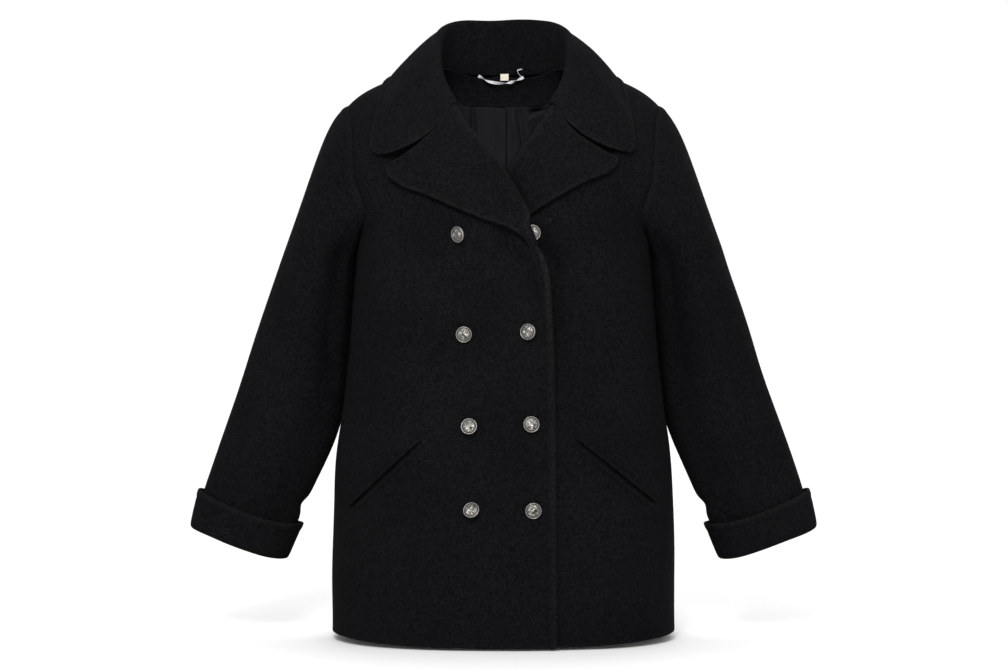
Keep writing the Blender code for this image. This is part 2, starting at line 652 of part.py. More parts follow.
def add_loop():
    curve = bpy.data.curves.new("hanger_loop", "CURVE")
    curve.dimensions = "3D"
    curve.bevel_depth = LOOP_RADIUS
    curve.bevel_resolution = 1
    curve.use_fill_caps = True
    t = np.linspace(0, 1, 13)
    table = (("t", "x", "y", "z"), tuple((i / (len(LOOP) - 1), *point) for i, point in enumerate(LOOP)))
    points = columns_at(table, ("x", "y", "z"), t)
    spline = curve.splines.new("POLY")
    spline.points.add(len(points) - 1)
    spline.points.foreach_set("co", np.hstack([points, np.ones((len(points), 1))]).ravel())
    return add_object("hanger_loop", curve, RIBBON)


def add_tab():
    bpy.ops.mesh.primitive_cube_add(size=1.0)
    made = bpy.context.object
    made.name = made.data.name = "size_tab"
    made.data.transform(Matrix.Diagonal((*TAB, 1.0)))
    made.location = TAB_PLACE
    for old in made.users_collection:
        old.objects.unlink(made)
    coat.objects.link(made)
    made.data.materials.append(material(CREAM))
    return made


# ---- the coat ----

for old in list(bpy.data.objects):
    bpy.data.objects.remove(old, do_unlink=True)
coat = bpy.data.collections.new("overcoat")
bpy.context.scene.collection.children.link(coat)

add_sheet("front_right", front_grid(), WALL, WOOL, hand=-1)
add_sheet("front_left", front_grid(under=True), WALL, WOOL)
back = back_grid()
add_sheet("back", back, WALL, WOOL)
for side_name, hand in (("right", -1), ("left", 1)):
    under = side_name == "left"
    table = LAPEL_LEFT if under else LAPEL_RIGHT
    add_sheet("lapel_" + side_name, lapel_grid(table, under), LAPEL_WALL, WOOL, hand, offset=0.0)
    add_sheet("sleeve_" + side_name, sleeve_grid(), WALL, WOOL, hand, ring=True)
    add_sheet("cuff_" + side_name, cuff_grid(), CUFF_WALL, WOOL, hand, ring=True)
    add_sheet("pocket_" + side_name, pocket_grid(POCKETS[side_name], under), LIP_WALL, WOOL, hand, ring=True)
add_sheet("collar", collar_grid(), COLLAR_WALL, WOOL_LIGHT, offset=0.0)
add_sheet("back_neck_facing", facing_grid(back), FACING_WALL, WOOL, offset=-1.0)
add_sheet("lining_back", lining_grid(back), LINING_WALL, SATIN, offset=-1.0, kept=lining_faces(back))
shared = button_mesh()
for button_name, button_x, button_z in BUTTONS:
    add_button("button_" + button_name, shared, button_x, button_z)
add_loop()
add_tab()
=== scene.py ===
import math

import bpy
import numpy as np
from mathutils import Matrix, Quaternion, Vector


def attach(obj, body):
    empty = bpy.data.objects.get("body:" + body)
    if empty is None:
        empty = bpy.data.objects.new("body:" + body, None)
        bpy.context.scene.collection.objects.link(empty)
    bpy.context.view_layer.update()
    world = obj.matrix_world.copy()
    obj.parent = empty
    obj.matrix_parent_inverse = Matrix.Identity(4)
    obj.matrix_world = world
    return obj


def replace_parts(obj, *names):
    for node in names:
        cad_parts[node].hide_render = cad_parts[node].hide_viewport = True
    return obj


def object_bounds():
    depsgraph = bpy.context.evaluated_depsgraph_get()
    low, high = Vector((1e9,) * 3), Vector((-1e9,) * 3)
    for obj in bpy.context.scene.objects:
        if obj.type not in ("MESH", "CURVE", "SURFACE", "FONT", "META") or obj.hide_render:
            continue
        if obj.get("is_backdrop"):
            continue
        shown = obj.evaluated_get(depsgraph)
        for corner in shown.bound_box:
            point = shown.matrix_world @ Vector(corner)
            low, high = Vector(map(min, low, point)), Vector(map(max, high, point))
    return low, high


# A double-breasted short overcoat in dark wool, made around its own solids.
# Metres, +Z up; the coat faces -Y and +X is the wearer's left.
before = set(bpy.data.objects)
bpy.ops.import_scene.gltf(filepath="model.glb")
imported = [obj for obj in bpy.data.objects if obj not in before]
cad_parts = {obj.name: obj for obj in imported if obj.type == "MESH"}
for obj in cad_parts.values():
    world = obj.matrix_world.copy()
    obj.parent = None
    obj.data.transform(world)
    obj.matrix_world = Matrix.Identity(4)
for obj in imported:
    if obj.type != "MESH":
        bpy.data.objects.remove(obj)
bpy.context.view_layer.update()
print("frame:", len(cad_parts), "nodes")

cloth = {
    "wall": 0.0025,
    "lapelWall": 0.0045,
    "collarWall": 0.004,
    "cuffWall": 0.0035,
    "seam": 0.00115,  # how far a seamed edge stops short of the seam, before its round rim
    "insetReach": 0.012,  # how far in the drawing in of an edge is felt
    "seamDip": 0.0009,
    "seamDipWide": 0.0035,
    "seamStiff": 0.35,  # share of the relief that is left at a seam
    "seamFade": 0.03,
    # a paler band at the hem: wear and painted highlight on its edge
    "wornHem": (0.12, 0.003),  # strength, width
    "rimSteps": 3,
}

# a hand of -1 mirrors the shape for the wearer's right
hands = ((-1, "right"), (1, "left"))
quarter = math.pi / 2


# curves and measures

def curveAt(table, column, where):
    # a cubic through the table's column: each stretch is Hermite, with the slope at a row taken from its neighbours
    knots, heights = np.array(table["at"], float), np.array(table[column], float)
    slopes = np.gradient(heights, knots)
    where = np.clip(where, knots[0], knots[-1])
    left = np.clip(np.searchsorted(knots, where, side="right") - 1, 0, len(knots) - 2)
    width = knots[left + 1] - knots[left]
    t = (where - knots[left]) / width
    rise = heights[left + 1] - heights[left]
    ends = slopes[left] * width * t * (1 - t) ** 2 - slopes[left + 1] * width * t * t * (1 - t)
    return heights[left] + rise * t * t * (3 - 2 * t) + ends


def pointsAt(table, columns, where):
    return np.stack([curveAt(table, column, where) for column in columns], -1)


def power(value, exponent):
    return np.sign(value) * np.abs(value) ** exponent


def ease(value):
    # 3 v^2 - 2 v^3 from 0 to 1
    value = np.clip(value, 0, 1)
    return value * value * (3 - 2 * value)


def between(value, low, rise, high, fall):
    # eases from 0 to 1 over rise, starting at low, and back to 0 over fall, starting at high
    return ease((value - low) / rise) * (1 - ease((value - high) / fall))


def bell(distance, width):
    # exp(-(distance / width)^2)
    return np.exp(-(distance / width) ** 2)


def band(distance, strength, where, width):
    # strength * exp(-((distance - where) / width)^2)
    return strength * bell(distance - where, width)


def unit(vectors):
    return vectors / np.linalg.norm(vectors, axis=-1, keepdims=True)


def stepsAlong(points, axis):
    # distance along each grid line from its first point
    steps = np.linalg.norm(np.diff(points, axis=axis), axis=-1)
    start = np.zeros_like(np.take(steps, [0], axis=axis))
    return np.concatenate([start, np.cumsum(steps, axis=axis)], axis=axis)


def nearerEnd(distance):
    # distance along each row, counted from whichever end is nearer
    return np.minimum(distance, distance[:, -1:] - distance)


def lineFrame(u, v, u0, v0, u1, v1):
    # distance along and away from the line between two points, and its length
    du, dv = u1 - u0, v1 - v0
    length = math.hypot(du, dv)
    return ((u - u0) * du + (v - v0) * dv) / length, ((v - v0) * du - (u - u0) * dv) / length, length


def softMax(a, b, softness):
    # (a + b + sqrt((a - b)^2 + softness^2)) / 2
    return 0.5 * (a + b + np.sqrt((a - b) ** 2 + softness ** 2))


def turnsOf(points):
    # angle round a tube at each of its columns
    return np.linspace(0, 2 * math.pi, points.shape[1], endpoint=False)[None]


# the body's form, the same as the solids'

body = {
    "hem": -0.786,
    "hemLift": 0.0075,
    "hemSoft": 0.02,
    "underarm": -0.229,
    "middle": -0.005,
    "shoulderSeamY": 0.012,
    "power": 2.4,
    "arch": {-1: 1.7, 1: 2.3},
    "spread": 0.0275,
    "spreadOver": 0.45,
    "neckX": 0.088,
    "scoopShare": 0.4,
    "scoopRise": 0.25,
    "scoopDeep": math.radians(28.5),
    "shoulderPoint": math.radians(73),
    "armholeBend": 1.7,
    # at is the height in form and frontEdge, and the width in shoulder
    "form": {
        "at": (-0.786, -0.61, -0.53, -0.46, -0.39, -0.32, -0.229),
        "halfWidth": (0.236, 0.2345, 0.2298, 0.2202, 0.2125, 0.2075, 0.1985),
        "front": (0.157, 0.154, 0.15, 0.146, 0.144, 0.144, 0.1435),
        "back": (0.15, 0.144, 0.138, 0.13, 0.124, 0.121, 0.119),
    },
    "shoulder": {
        "at": (0, 0.088, 0.13, 0.17, 0.2, 0.23),
        "height": (0.03, 0.006, -0.005, -0.0175, -0.0345, -0.06),
    },
    "frontEdge": {
        "at": (
            -0.786, -0.668, -0.456, -0.362, -0.322, -0.29, -0.2756, -0.265, -0.2556, -0.2462, -0.235, -0.222,
            -0.212, -0.177, -0.1465, -0.119, -0.082, -0.055, -0.028, -0.004, 0.006,
        ),
        "x": (
            -0.0712, -0.07, -0.068, -0.0645, -0.062, -0.0598, -0.0568, -0.0532, -0.048, -0.0425, -0.0368, -0.0322,
            -0.029, -0.0088, 0.01, 0.0297, 0.057, 0.0715, 0.08, 0.0865, 0.088,
        ),
    },
}
bodyTall = body["underarm"] - body["hem"]

# how far the left front is pressed in under the right one, and more over two spans of height: low, rise, high, fall
cover = {
    "deep": 0.0034,
    "from": 0.004,
    "fade": 0.075,
    "lapelDeep": 0.0105,
    "lapelSpan": (-0.32, 0.07, -0.14, 0.085),
    "chestDeep": 0.0066,
    "chestSpan": (-0.48, 0.1, -0.27, 0.05),
}


def shoulderHeight(x):
    return curveAt(body["shoulder"], "height", np.abs(x))


def halfWidth(height, climb):
    return curveAt(body["form"], "halfWidth", height) + body["spread"] * ease(climb / body["spreadOver"])


def levelOf(rise):
    # height of a row, up to the underarm
    return body["hem"] + bodyTall * np.clip(rise, 0, 1)


def torso(side, theta, rise):
    # inner face of the body. Across: x = halfWidth * sin(theta)^(2/p), y = depth * cos(theta)^(2/p).
    # Past rise 1 each strip arches over: its height follows sin^(2/q) and its reach cos^(2/q) of a quarter turn.
    theta, rise = np.broadcast_arrays(theta, rise)
    height = levelOf(rise)
    turn = np.clip(rise - 1, 0, 1) * quarter
    climb = np.sin(turn) ** (2 / body["arch"][side])
    reach = np.clip(np.cos(turn), 0, 1) ** (2 / body["arch"][side])
    depth = curveAt(body["form"], "front" if side < 0 else "back", height)
    x = halfWidth(height, climb) * power(np.sin(theta), 2 / body["power"])
    foot = body["middle"] + side * depth * np.clip(np.cos(theta), 0, 1) ** (2 / body["power"])
    y = body["shoulderSeamY"] + (foot - body["shoulderSeamY"]) * reach
    return np.stack([x, y, height + climb * (shoulderHeight(x) - body["underarm"])], -1)


def place(side, x, z):
    # theta and rise of the point at this width and height: torso solved the other way round
    climb = np.clip((z - body["underarm"]) / (shoulderHeight(x) - body["underarm"]), 0, 1)
    turn = np.arcsin(climb ** (body["arch"][side] / 2))
    low = np.clip((z - body["hem"]) / bodyTall, 0, 1)
    share = np.clip(x / halfWidth(np.minimum(z, body["underarm"]), climb), -1, 1)
    return np.arcsin(power(share, body["power"] / 2)), low + turn / quarter


def armhole(side, v):
    # from the underarm (0) theta dips by scoopDeep * sin over a quarter turn, then runs to the shoulder point (1)
    scoop = np.clip(v / body["scoopShare"], 0, 1) * quarter
    up = np.clip((v - body["scoopShare"]) / (1 - body["scoopShare"]), 0, 1)
    narrow = quarter - body["scoopDeep"]
    climbing = (body["shoulderPoint"] - narrow) * up ** body["armholeBend"]
    climb = body["scoopRise"] * (1 - np.cos(scoop))
    turn = np.arcsin(climb ** (body["arch"][side] / 2))
    return quarter - body["scoopDeep"] * np.sin(scoop) + climbing, 1 + turn / quarter + (1 - turn / quarter) * up


def coverDepth(x, z):
    otherEdge = -curveAt(body["frontEdge"], "x", z)
    covered = 1 - ease((x - otherEdge - cover["from"]) / cover["fade"])
    more = cover["lapelDeep"] * between(z, *cover["lapelSpan"]) + cover["chestDeep"] * between(z, *cover["chestSpan"])
    return covered * (cover["deep"] + more)


def onFront(x, z, lift, under=False):
    # the front's inner face at this width and height, plus lift along its outward normal
    step = 0.0005
    here = torso(-1, *place(-1, x, z))
    across = torso(-1, *place(-1, x + step, z)) - here
    upward = torso(-1, *place(-1, x, z + step)) - here
    if under:
        lift = lift - coverDepth(x, z)
    return here + unit(np.cross(across, upward)) * np.asarray(lift)[..., None]


# grids

def closed(points):
    # a tube's grid with its last column before the first and its first after the last
    return np.concatenate([points[:, -1:], points, points[:, :1]], axis=1)


def gridNormals(points, ring=False):
    # unit cross product of the steps along a row and along a column
    down, across = np.gradient(closed(points) if ring else points, axis=(0, 1))
    normals = unit(np.cross(across, down) + 1e-12)
    return normals[:, 1:-1] if ring else normals


def moved(points, distance, ring=False):
    return points + gridNormals(points, ring) * np.broadcast_to(distance, points.shape[:2])[..., None]


def inset(points, firstRow=0.0, lastRow=0.0, firstColumn=0.0, lastColumn=0.0):
    # each edge of the grid drawn in along the cloth, and the lines beside it by gap * (1 - away / insetReach)
    points = points.copy()
    for axis, back, gap in ((0, 1, firstRow), (0, -1, lastRow), (1, 1, firstColumn), (1, -1, lastColumn)):
        lines = np.moveaxis(points, axis, 0)[::back]
        away = stepsAlong(lines, 0)
        inward = np.gradient(lines, axis=0)
        inward[0] = lines[1] - lines[0]
        lines += unit(inward + 1e-12) * (gap * np.clip(1 - away / cloth["insetReach"], 0, 1))[..., None]
    return points


def relaxed(points, times, ring=False):
    # each inner point moves halfway to the mean of its four neighbours
    sides = slice(None) if ring else slice(1, -1)
    for _ in range(times):
        wide = closed(points) if ring else points
        mean = (wide[:-2, 1:-1] + wide[2:, 1:-1] + wide[1:-1, :-2] + wide[1:-1, 2:]) / 4
        points = points.copy()
        points[1:-1, sides] = (points[1:-1, sides] + mean) / 2
    return points


def folds(u, v, table):
    # the sum of soft troughs and ridges. Each runs from (u0, v0) to (u1, v1) with a bow, and its height is
    # depth * exp(-(away / width)^2) * sin(pi * along)^0.7, steeper on one side and wandering in width
    relief = np.zeros(np.broadcast(u, v).shape)
    for u0, v0, u1, v1, width, depth, bow in table:
        along, away, length = lineFrame(u, v, u0, v0, u1, v1)
        along = along / length
        arch = np.sin(math.pi * np.clip(along, 0, 1))
        away = away - bow * arch
        wander = (1 + 0.25 * np.sin(7 * along + 50 * u0)) * (1 + 0.35 * np.tanh(away / width))
        relief += depth * bell(away, width * wander) * arch ** 0.7
    return relief


def uneven(u, v, height, size, seed):
    # the hand of thick cloth: eight slow sine waves in seeded directions, about size apart
    random = np.random.default_rng(seed)
    count = 8
    angles = random.uniform(0, math.pi, count)
    rates = 2 * math.pi / (size * random.uniform(0.7, 1.8, count))
    phases = random.uniform(0, 2 * math.pi, count)
    total = sum(np.sin(w * (u * np.cos(a) + v * np.sin(a)) + p) for a, w, p in zip(angles, rates, phases))
    return height * total / count ** 0.5


def seamDip(*distances):
    # a dip along each seam: seamDip * exp(-(distance / seamDipWide)^2)
    return cloth["seamDip"] * sum(bell(distance, cloth["seamDipWide"]) for distance in distances)


# a paler band along the hem: worn cloth and painted highlight where its edge catches the light
def wornHem(distance):
    strength, width = cloth["wornHem"]
    return strength * bell(distance, width)


def seamFade(distance):
    # relief grows from seamStiff at a seam to its full height
    return np.minimum(1, cloth["seamStiff"] + distance / cloth["seamFade"])


# meshes

def gridFaces(rows, columns, ring=False):
    # quads (i, j), (i, j+1), (i+1, j+1), (i+1, j) of a grid, as point numbers
    corners = np.arange(rows * columns).reshape(rows, columns)
    if ring:
        corners = np.hstack([corners, corners[:, :1]])
    return np.stack([corners[:-1, :-1], corners[:-1, 1:], corners[1:, 1:], corners[1:, :-1]], -1)


def linked(name, data):
    made = bpy.data.objects.new(name, data)
    bpy.context.scene.collection.objects.link(made)
    return made


def meshObject(name, points, faces, materials, wearAndHighlight, uvs=None, index=None):
    mesh = bpy.data.meshes.new(name)
    mesh.from_pydata(points.tolist(), [], faces)
    if uvs is not None:
        mesh.uv_layers.new(name="cloth").data.foreach_set("uv", uvs.astype(np.float32).ravel())
    # per point: wear of the cloth and painted highlight along edges and rolls; on the buttons, polish and patina
    mesh.attributes.new("wearAndHighlight", "FLOAT", "POINT").data.foreach_set("value", wearAndHighlight.astype(np.float32).ravel())
    for material in materials:
        mesh.materials.append(material)
    if index is not None:
        mesh.polygons.foreach_set("material_index", index.astype(np.int32))
    mesh.shade_smooth()
    return linked(name, mesh)


def rimLoops(rows, columns, ring, notch):
    # the open edges of a grid as row and column numbers, and which way round each runs
    if ring:
        return [(np.full(columns, row), np.arange(columns), way) for row, way in ((0, 1), (rows - 1, -1))]
    last, end = rows - 1, columns - 1
    turns = [(0, 0), (0, end), (last, end), (last, 0), (0, 0)]
    if notch:  # a rectangle of columns cut out of the last rows
        row, left, right = notch
        turns[3:3] = [(last, right), (row, right), (row, left), (last, left)]
    legs = [np.linspace(a, b, max(abs(a[0] - b[0]), abs(a[1] - b[1])) + 1)[:-1] for a, b in zip(turns, turns[1:])]
    i, j = np.rint(np.concatenate(legs)).astype(int).T
    return [(i, j, 1)]


def clothShell(name, points, wall, materials, below=0.0, hand=1, ring=False, notch=None, wearAndHighlight=0.0):
    # a closed wall of cloth. Outer face = points + normal * wall * (1 - below), inner face = points - normal *
    # wall * below. Round rim: middle + wall/2 * (outward * cos a + normal * sin a), a from 90 to -90 degrees.
    rows, columns = points.shape[:2]
    wall = np.broadcast_to(wall, (rows, columns))[..., None]
    wearAndHighlight = np.broadcast_to(wearAndHighlight, (rows, columns))
    normal = gridNormals(points, ring)
    outer = points + normal * wall * (1 - below)
    inner = points - normal * wall * below
    faces = gridFaces(rows, columns, ring)
    keep = np.ones(faces.shape[:2], bool)
    if notch:
        keep[notch[0]:, notch[1]:notch[2]] = False
    shift = rows * columns
    quads = [faces[keep], (faces[:, :, ::-1] + shift)[keep]]
    outerCount = len(quads[0])
    vertices, worn = [outer.reshape(-1, 3), inner.reshape(-1, 3)], [wearAndHighlight.ravel(), wearAndHighlight.ravel()]

    # cloth coordinates in metres, from the middle column
    along, aside = stepsAlong(points, 0), stepsAlong(points, 1)
    if ring:
        along = along - along[-1:]
        closing = np.linalg.norm(points[:, :1] - points[:, -1:], axis=-1)
        aside = np.hstack([aside, aside[:, -1:] + closing])
        along = np.hstack([along, along[:, :1]])
    else:
        aside = aside - aside[:, columns // 2:columns // 2 + 1]
    flat = np.stack([aside, along], -1)
    flatFaces = gridFaces(rows, flat.shape[1])
    corners = [flat.reshape(-1, 2)[some[keep]] for some in (flatFaces, flatFaces[:, :, ::-1])]

    for i, j, way in rimLoops(rows, columns, ring, notch):
        edge = points[i, j]
        tangent = np.roll(edge, -1, axis=0) - np.roll(edge, 1, axis=0)
        outward = unit(np.cross(tangent, normal[i, j])) * way
        half = wall[i, j] / 2
        middle = (outer[i, j] + inner[i, j]) / 2
        # in cloth coordinates the rim runs on outward, square to the edge
        push = np.stack([np.sign(np.roll(i, -1) - np.roll(i, 1)), -np.sign(np.roll(j, -1) - np.roll(j, 1))], -1)
        if ring:
            push[:, 0] = 0
        before, flatBefore = i * columns + j, flat[i, j]
        following = np.roll(np.arange(len(i)), -1)
        for k in range(1, cloth["rimSteps"] + 2):
            turned = math.pi * k / (cloth["rimSteps"] + 1)
            angle = quarter - turned
            if k <= cloth["rimSteps"]:
                after = sum(len(v) for v in vertices) + np.arange(len(i))
                vertices.append(middle + half * (outward * math.cos(angle) + normal[i, j] * math.sin(angle)))
                worn.append(wearAndHighlight[i, j])
            else:
                after = i * columns + j + shift
            flatAfter = flat[i, j] + push * half * turned
            quad = np.stack([before[following], before, after, after[following]], -1)
            corner = np.stack([flatBefore[following], flatBefore, flatAfter, flatAfter[following]], 1)
            if ring:  # the closing quad's far corners lie a full turn on
                corner[-1, [0, 3], 0] += aside[i[-1], -1]
            if way < 0:
                quad, corner = quad[:, ::-1], corner[:, ::-1]
            quads.append(quad)
            corners.append(corner)
            before, flatBefore = after, flatAfter
    quads, corners = np.concatenate(quads), np.concatenate(corners)
    vertices, worn = np.concatenate(vertices) * (hand, 1, 1), np.concatenate(worn)
    if hand < 0:
        quads, corners = quads[:, ::-1], corners[:, ::-1]
    index = np.zeros(len(quads), int)
    if len(materials) > 1:  # the second material is the wall's inner face
        index[outerCount:2 * outerCount] = 1
    used, quads = np.unique(quads, return_inverse=True)
    quads = quads.reshape(-1, 4).tolist()
    return meshObject(name, vertices[used], quads, materials, worn[used], corners.reshape(-1, 2), index)


# materials

def startMaterial(name):
    made = bpy.data.materials.new(name)
    made.use_nodes = True
    tree = made.node_tree
    return made, tree, tree.nodes["Principled BSDF"]


def addNode(tree, kind, inputs=None, **settings):
    node = tree.nodes.new(kind)
    for key, value in settings.items():
        setattr(node, key, value)
    for key, value in (inputs or {}).items():
        if isinstance(value, bpy.types.NodeSocket):
            tree.links.new(value, node.inputs[key])
        else:
            node.inputs[key].default_value = value
    return node


def math2(tree, operation, a, b=0.0):
    return addNode(tree, "ShaderNodeMath", {0: a, 1: b}, operation=operation).outputs[0]


def scaled(tree, value, fromLow, fromHigh, toLow, toHigh):
    inputs = {0: value, 1: fromLow, 2: fromHigh, 3: toLow, 4: toHigh}
    return addNode(tree, "ShaderNodeMapRange", inputs, interpolation_type="SMOOTHSTEP").outputs[0]


def mixed(tree, share, a, b):
    return addNode(tree, "ShaderNodeMix", {0: share, 6: a, 7: b}, data_type="RGBA").outputs[2]


def noise(tree, where, scale, detail=2.0, roughness=0.5, distortion=0.0):
    inputs = {"Vector": where, "Scale": scale, "Detail": detail, "Roughness": roughness, "Distortion": distortion}
    return addNode(tree, "ShaderNodeTexNoise", inputs).outputs[0]


def stretched(tree, where, turn, size):
    # coordinates turned by an angle and scaled, for hairs that lie one way
    return addNode(tree, "ShaderNodeMapping", {0: where, 2: (0, 0, math.radians(turn)), 3: (*size, 1)}).outputs[0]


def waves(tree, where, scale, distortion, bands="X", **more):
    inputs = {0: where, "Scale": scale, "Distortion": distortion, **more}
    return addNode(tree, "ShaderNodeTexWave", inputs, bands_direction=bands).outputs["Fac"]


def finished(tree, shader, tone, rough, strength, distance, height, **settings):
    # the colour, roughness and bump of a cloth, then the shader's plain settings
    tree.links.new(tone, shader.inputs["Base Color"])
    tree.links.new(rough, shader.inputs["Roughness"])
    bump = addNode(tree, "ShaderNodeBump", {"Strength": strength, "Distance": distance, "Height": height})
    tree.links.new(bump.outputs[0], shader.inputs["Normal"])
    for key, value in settings.items():
        shader.inputs[key].default_value = value


wool = {
    "color": (0.0037, 0.0037, 0.0042),
    "dark": (0.001, 0.001, 0.0012),
    "light": (0.0074, 0.0074, 0.0084),
    "hair": (0.026, 0.026, 0.0275),
    "warm": (0.0056, 0.005, 0.0044),
    # the paler colour of worn cloth, also painted highlight where edges and rolls catch the light
    "worn": (0.012, 0.0118, 0.012),
    "twill": 170.0,
    "mottle": 170.0,
    "clumps": 470.0,
    "bump": 0.0007,
}


def makeWool(name, lift=1.0):
    # a felted twill: fine slanting ribs, uneven clumps of nap, and pale hairs lying across them. A lift above 1 makes
    # a paler copy of the same cloth, which is painted light
    made, tree, shader = startMaterial(name)
    where = addNode(tree, "ShaderNodeUVMap", uv_map="cloth").outputs[0]
    whole = addNode(tree, "ShaderNodeTexCoord").outputs["Object"]
    ribs = waves(tree, stretched(tree, where, 34, (1, 1)), wool["twill"], 3.0, **{"Detail": 2.0, "Detail Scale": 2.5})
    clumps = noise(tree, whole, wool["clumps"], 2.0, 0.5, 0.4)
    grain = noise(tree, whole, wool["clumps"] * 2.9, 2.0, 0.6)
    longHairs = noise(tree, stretched(tree, where, 20, (260, 1300)), 1.0, 2.0, 0.6, 0.8)
    crossHairs = noise(tree, stretched(tree, where, -55, (300, 1500)), 1.0, 2.0, 0.6, 0.8)
    hairs = math2(tree, "MAXIMUM", longHairs, crossHairs)
    patches = noise(tree, whole, 9.0, 2.0, 0.5)
    tint = noise(tree, whole, 5.0, 1.0, 0.5)
    wearAndHighlight = addNode(tree, "ShaderNodeAttribute", attribute_name="wearAndHighlight").outputs["Fac"]

    def over(tone, share, color, factor=1.0):
        return mixed(tree, share, tone, (*[part * lift * factor for part in wool[color]], 1.0))

    mottle = noise(tree, whole, wool["mottle"], 2.0, 0.55, 0.3)
    tufts = math2(tree, "ADD", math2(tree, "MULTIPLY", clumps, 0.7), math2(tree, "MULTIPLY", mottle, 0.3))
    tone = over((*[part * lift for part in wool["dark"]], 1.0), scaled(tree, tufts, 0.33, 0.67, 0.0, 1.0), "light")
    tone = over(tone, 0.15, "color")
    tone = over(tone, scaled(tree, grain, 0.4, 0.66, 0.0, 0.35), "light", 1.2)
    tone = over(tone, scaled(tree, tint, 0.45, 0.7, 0.0, 0.16), "warm")
    tone = over(tone, scaled(tree, patches, 0.3, 0.7, 0.0, 0.25), "dark", 1.3)
    # paler where the wear attribute is high: worn cloth, and painted highlight on edges, rolls and pocket lips
    tone = over(tone, math2(tree, "MULTIPLY", wearAndHighlight, scaled(tree, clumps, 0.36, 0.66, 0.35, 1.5)), "worn")
    tone = over(tone, math2(tree, "MULTIPLY", math2(tree, "SUBTRACT", 1.0, ribs), 0.3), "dark", 0.8)
    tone = over(tone, scaled(tree, hairs, 0.64, 0.78, 0.0, 0.9), "hair")
    height = math2(tree, "ADD", math2(tree, "MULTIPLY", clumps, 1.8), math2(tree, "MULTIPLY", grain, 0.6))
    height = math2(tree, "ADD", height, math2(tree, "MULTIPLY", ribs, 0.35))
    height = math2(tree, "ADD", height, math2(tree, "MULTIPLY", scaled(tree, hairs, 0.6, 0.8, 0.0, 1.0), 0.8))
    plain = {"Specular IOR Level": 0.01, "Sheen Weight": 0.004, "Sheen Roughness": 0.35}
    finished(tree, shader, tone, scaled(tree, clumps, 0.3, 0.7, 0.92, 1.0), 0.9, wool["bump"], height, **plain)
    return made


satin = {"color": (0.0118, 0.0123, 0.0134), "shade": (0.0074, 0.0078, 0.0088), "thread": 900.0, "bump": 0.00008}


def makeSatin():
    # a smooth twill lining: very fine even ribs, slow streaks of sheen
    made, tree, shader = startMaterial("liningSatin")
    where = addNode(tree, "ShaderNodeUVMap", uv_map="cloth").outputs[0]
    ribs = waves(tree, stretched(tree, where, 28, (1, 1)), satin["thread"], 0.6)
    streaks = noise(tree, stretched(tree, where, 0, (220, 14)), 1.0, 3.0, 0.6, 0.3)
    cloudy = noise(tree, where, 30.0, 2.0)
    tone = mixed(tree, scaled(tree, streaks, 0.25, 0.75, 0.0, 1.0), (*satin["shade"], 1), (*satin["color"], 1))
    tone = mixed(tree, math2(tree, "MULTIPLY", ribs, 0.25), tone, (*satin["shade"], 1))
    height = math2(tree, "ADD", ribs, math2(tree, "MULTIPLY", streaks, 1.5))
    rough = scaled(tree, cloudy, 0.3, 0.7, 0.64, 0.76)
    finished(tree, shader, tone, rough, 0.6, satin["bump"], height, **{"Specular IOR Level": 0.1})
    return made


pewter = {
    "bright": (0.4, 0.385, 0.36),
    "dull": (0.135, 0.128, 0.118),
    "tarnish": (0.02, 0.019, 0.017),
    "bump": 0.00008,
}


def makePewter():
    # cast metal: dark in the hollows by the wear attribute, brushed bright on the high places, with fine pits
    made, tree, shader = startMaterial("pewter")
    where = addNode(tree, "ShaderNodeTexCoord").outputs["Object"]
    high = addNode(tree, "ShaderNodeAttribute", attribute_name="wearAndHighlight").outputs["Fac"]
    spots = noise(tree, where, 900.0, 3.0, 0.6)
    pits = noise(tree, where, 3200.0, 2.0, 0.6)
    mask = math2(tree, "ADD", high, math2(tree, "MULTIPLY", math2(tree, "SUBTRACT", spots, 0.5), 0.5))
    tone = mixed(tree, scaled(tree, mask, 0.05, 0.5, 0.0, 1.0), (*pewter["tarnish"], 1), (*pewter["dull"], 1))
    tone = mixed(tree, scaled(tree, mask, 0.45, 0.95, 0.0, 1.0), tone, (*pewter["bright"], 1))
    rough, height = scaled(tree, mask, 0.1, 1.0, 0.62, 0.3), math2(tree, "ADD", spots, pits)
    finished(tree, shader, tone, rough, 0.5, pewter["bump"], height, Metallic=0.9)
    return made


def makeTape(name, color, shade, ribs, sheen, rough):
    # woven tape: cross ribs and lengthwise yarns, with slightly soiled patches
    made, tree, shader = startMaterial(name)
    where = addNode(tree, "ShaderNodeUVMap", uv_map="cloth").outputs[0]
    across = waves(tree, where, ribs, 0.4, "Y")
    lengthwise = waves(tree, where, ribs * 1.4, 0.6)
    soil = noise(tree, where, 260.0, 3.0)
    tone = mixed(tree, math2(tree, "MULTIPLY", across, 0.5), (*color, 1), (*shade, 1))
    tone = mixed(tree, scaled(tree, soil, 0.45, 0.75, 0.0, 0.5), tone, (*shade, 1))
    height = math2(tree, "ADD", across, math2(tree, "MULTIPLY", lengthwise, 0.7))
    roughness = scaled(tree, soil, 0.3, 0.7, rough - 0.08, rough + 0.08)
    plain = {"Sheen Weight": sheen, "Specular IOR Level": 0.4}
    finished(tree, shader, tone, roughness, 0.6, 0.00012, height, **plain)
    return made


woolCloth = makeWool("woolMelton")
# the same melton made 6% paler: painted light on the collar and lapels, which catch more of the light
woolCollarPaintedLight = makeWool("woolMeltonCollarPaintedLight", 1.06)
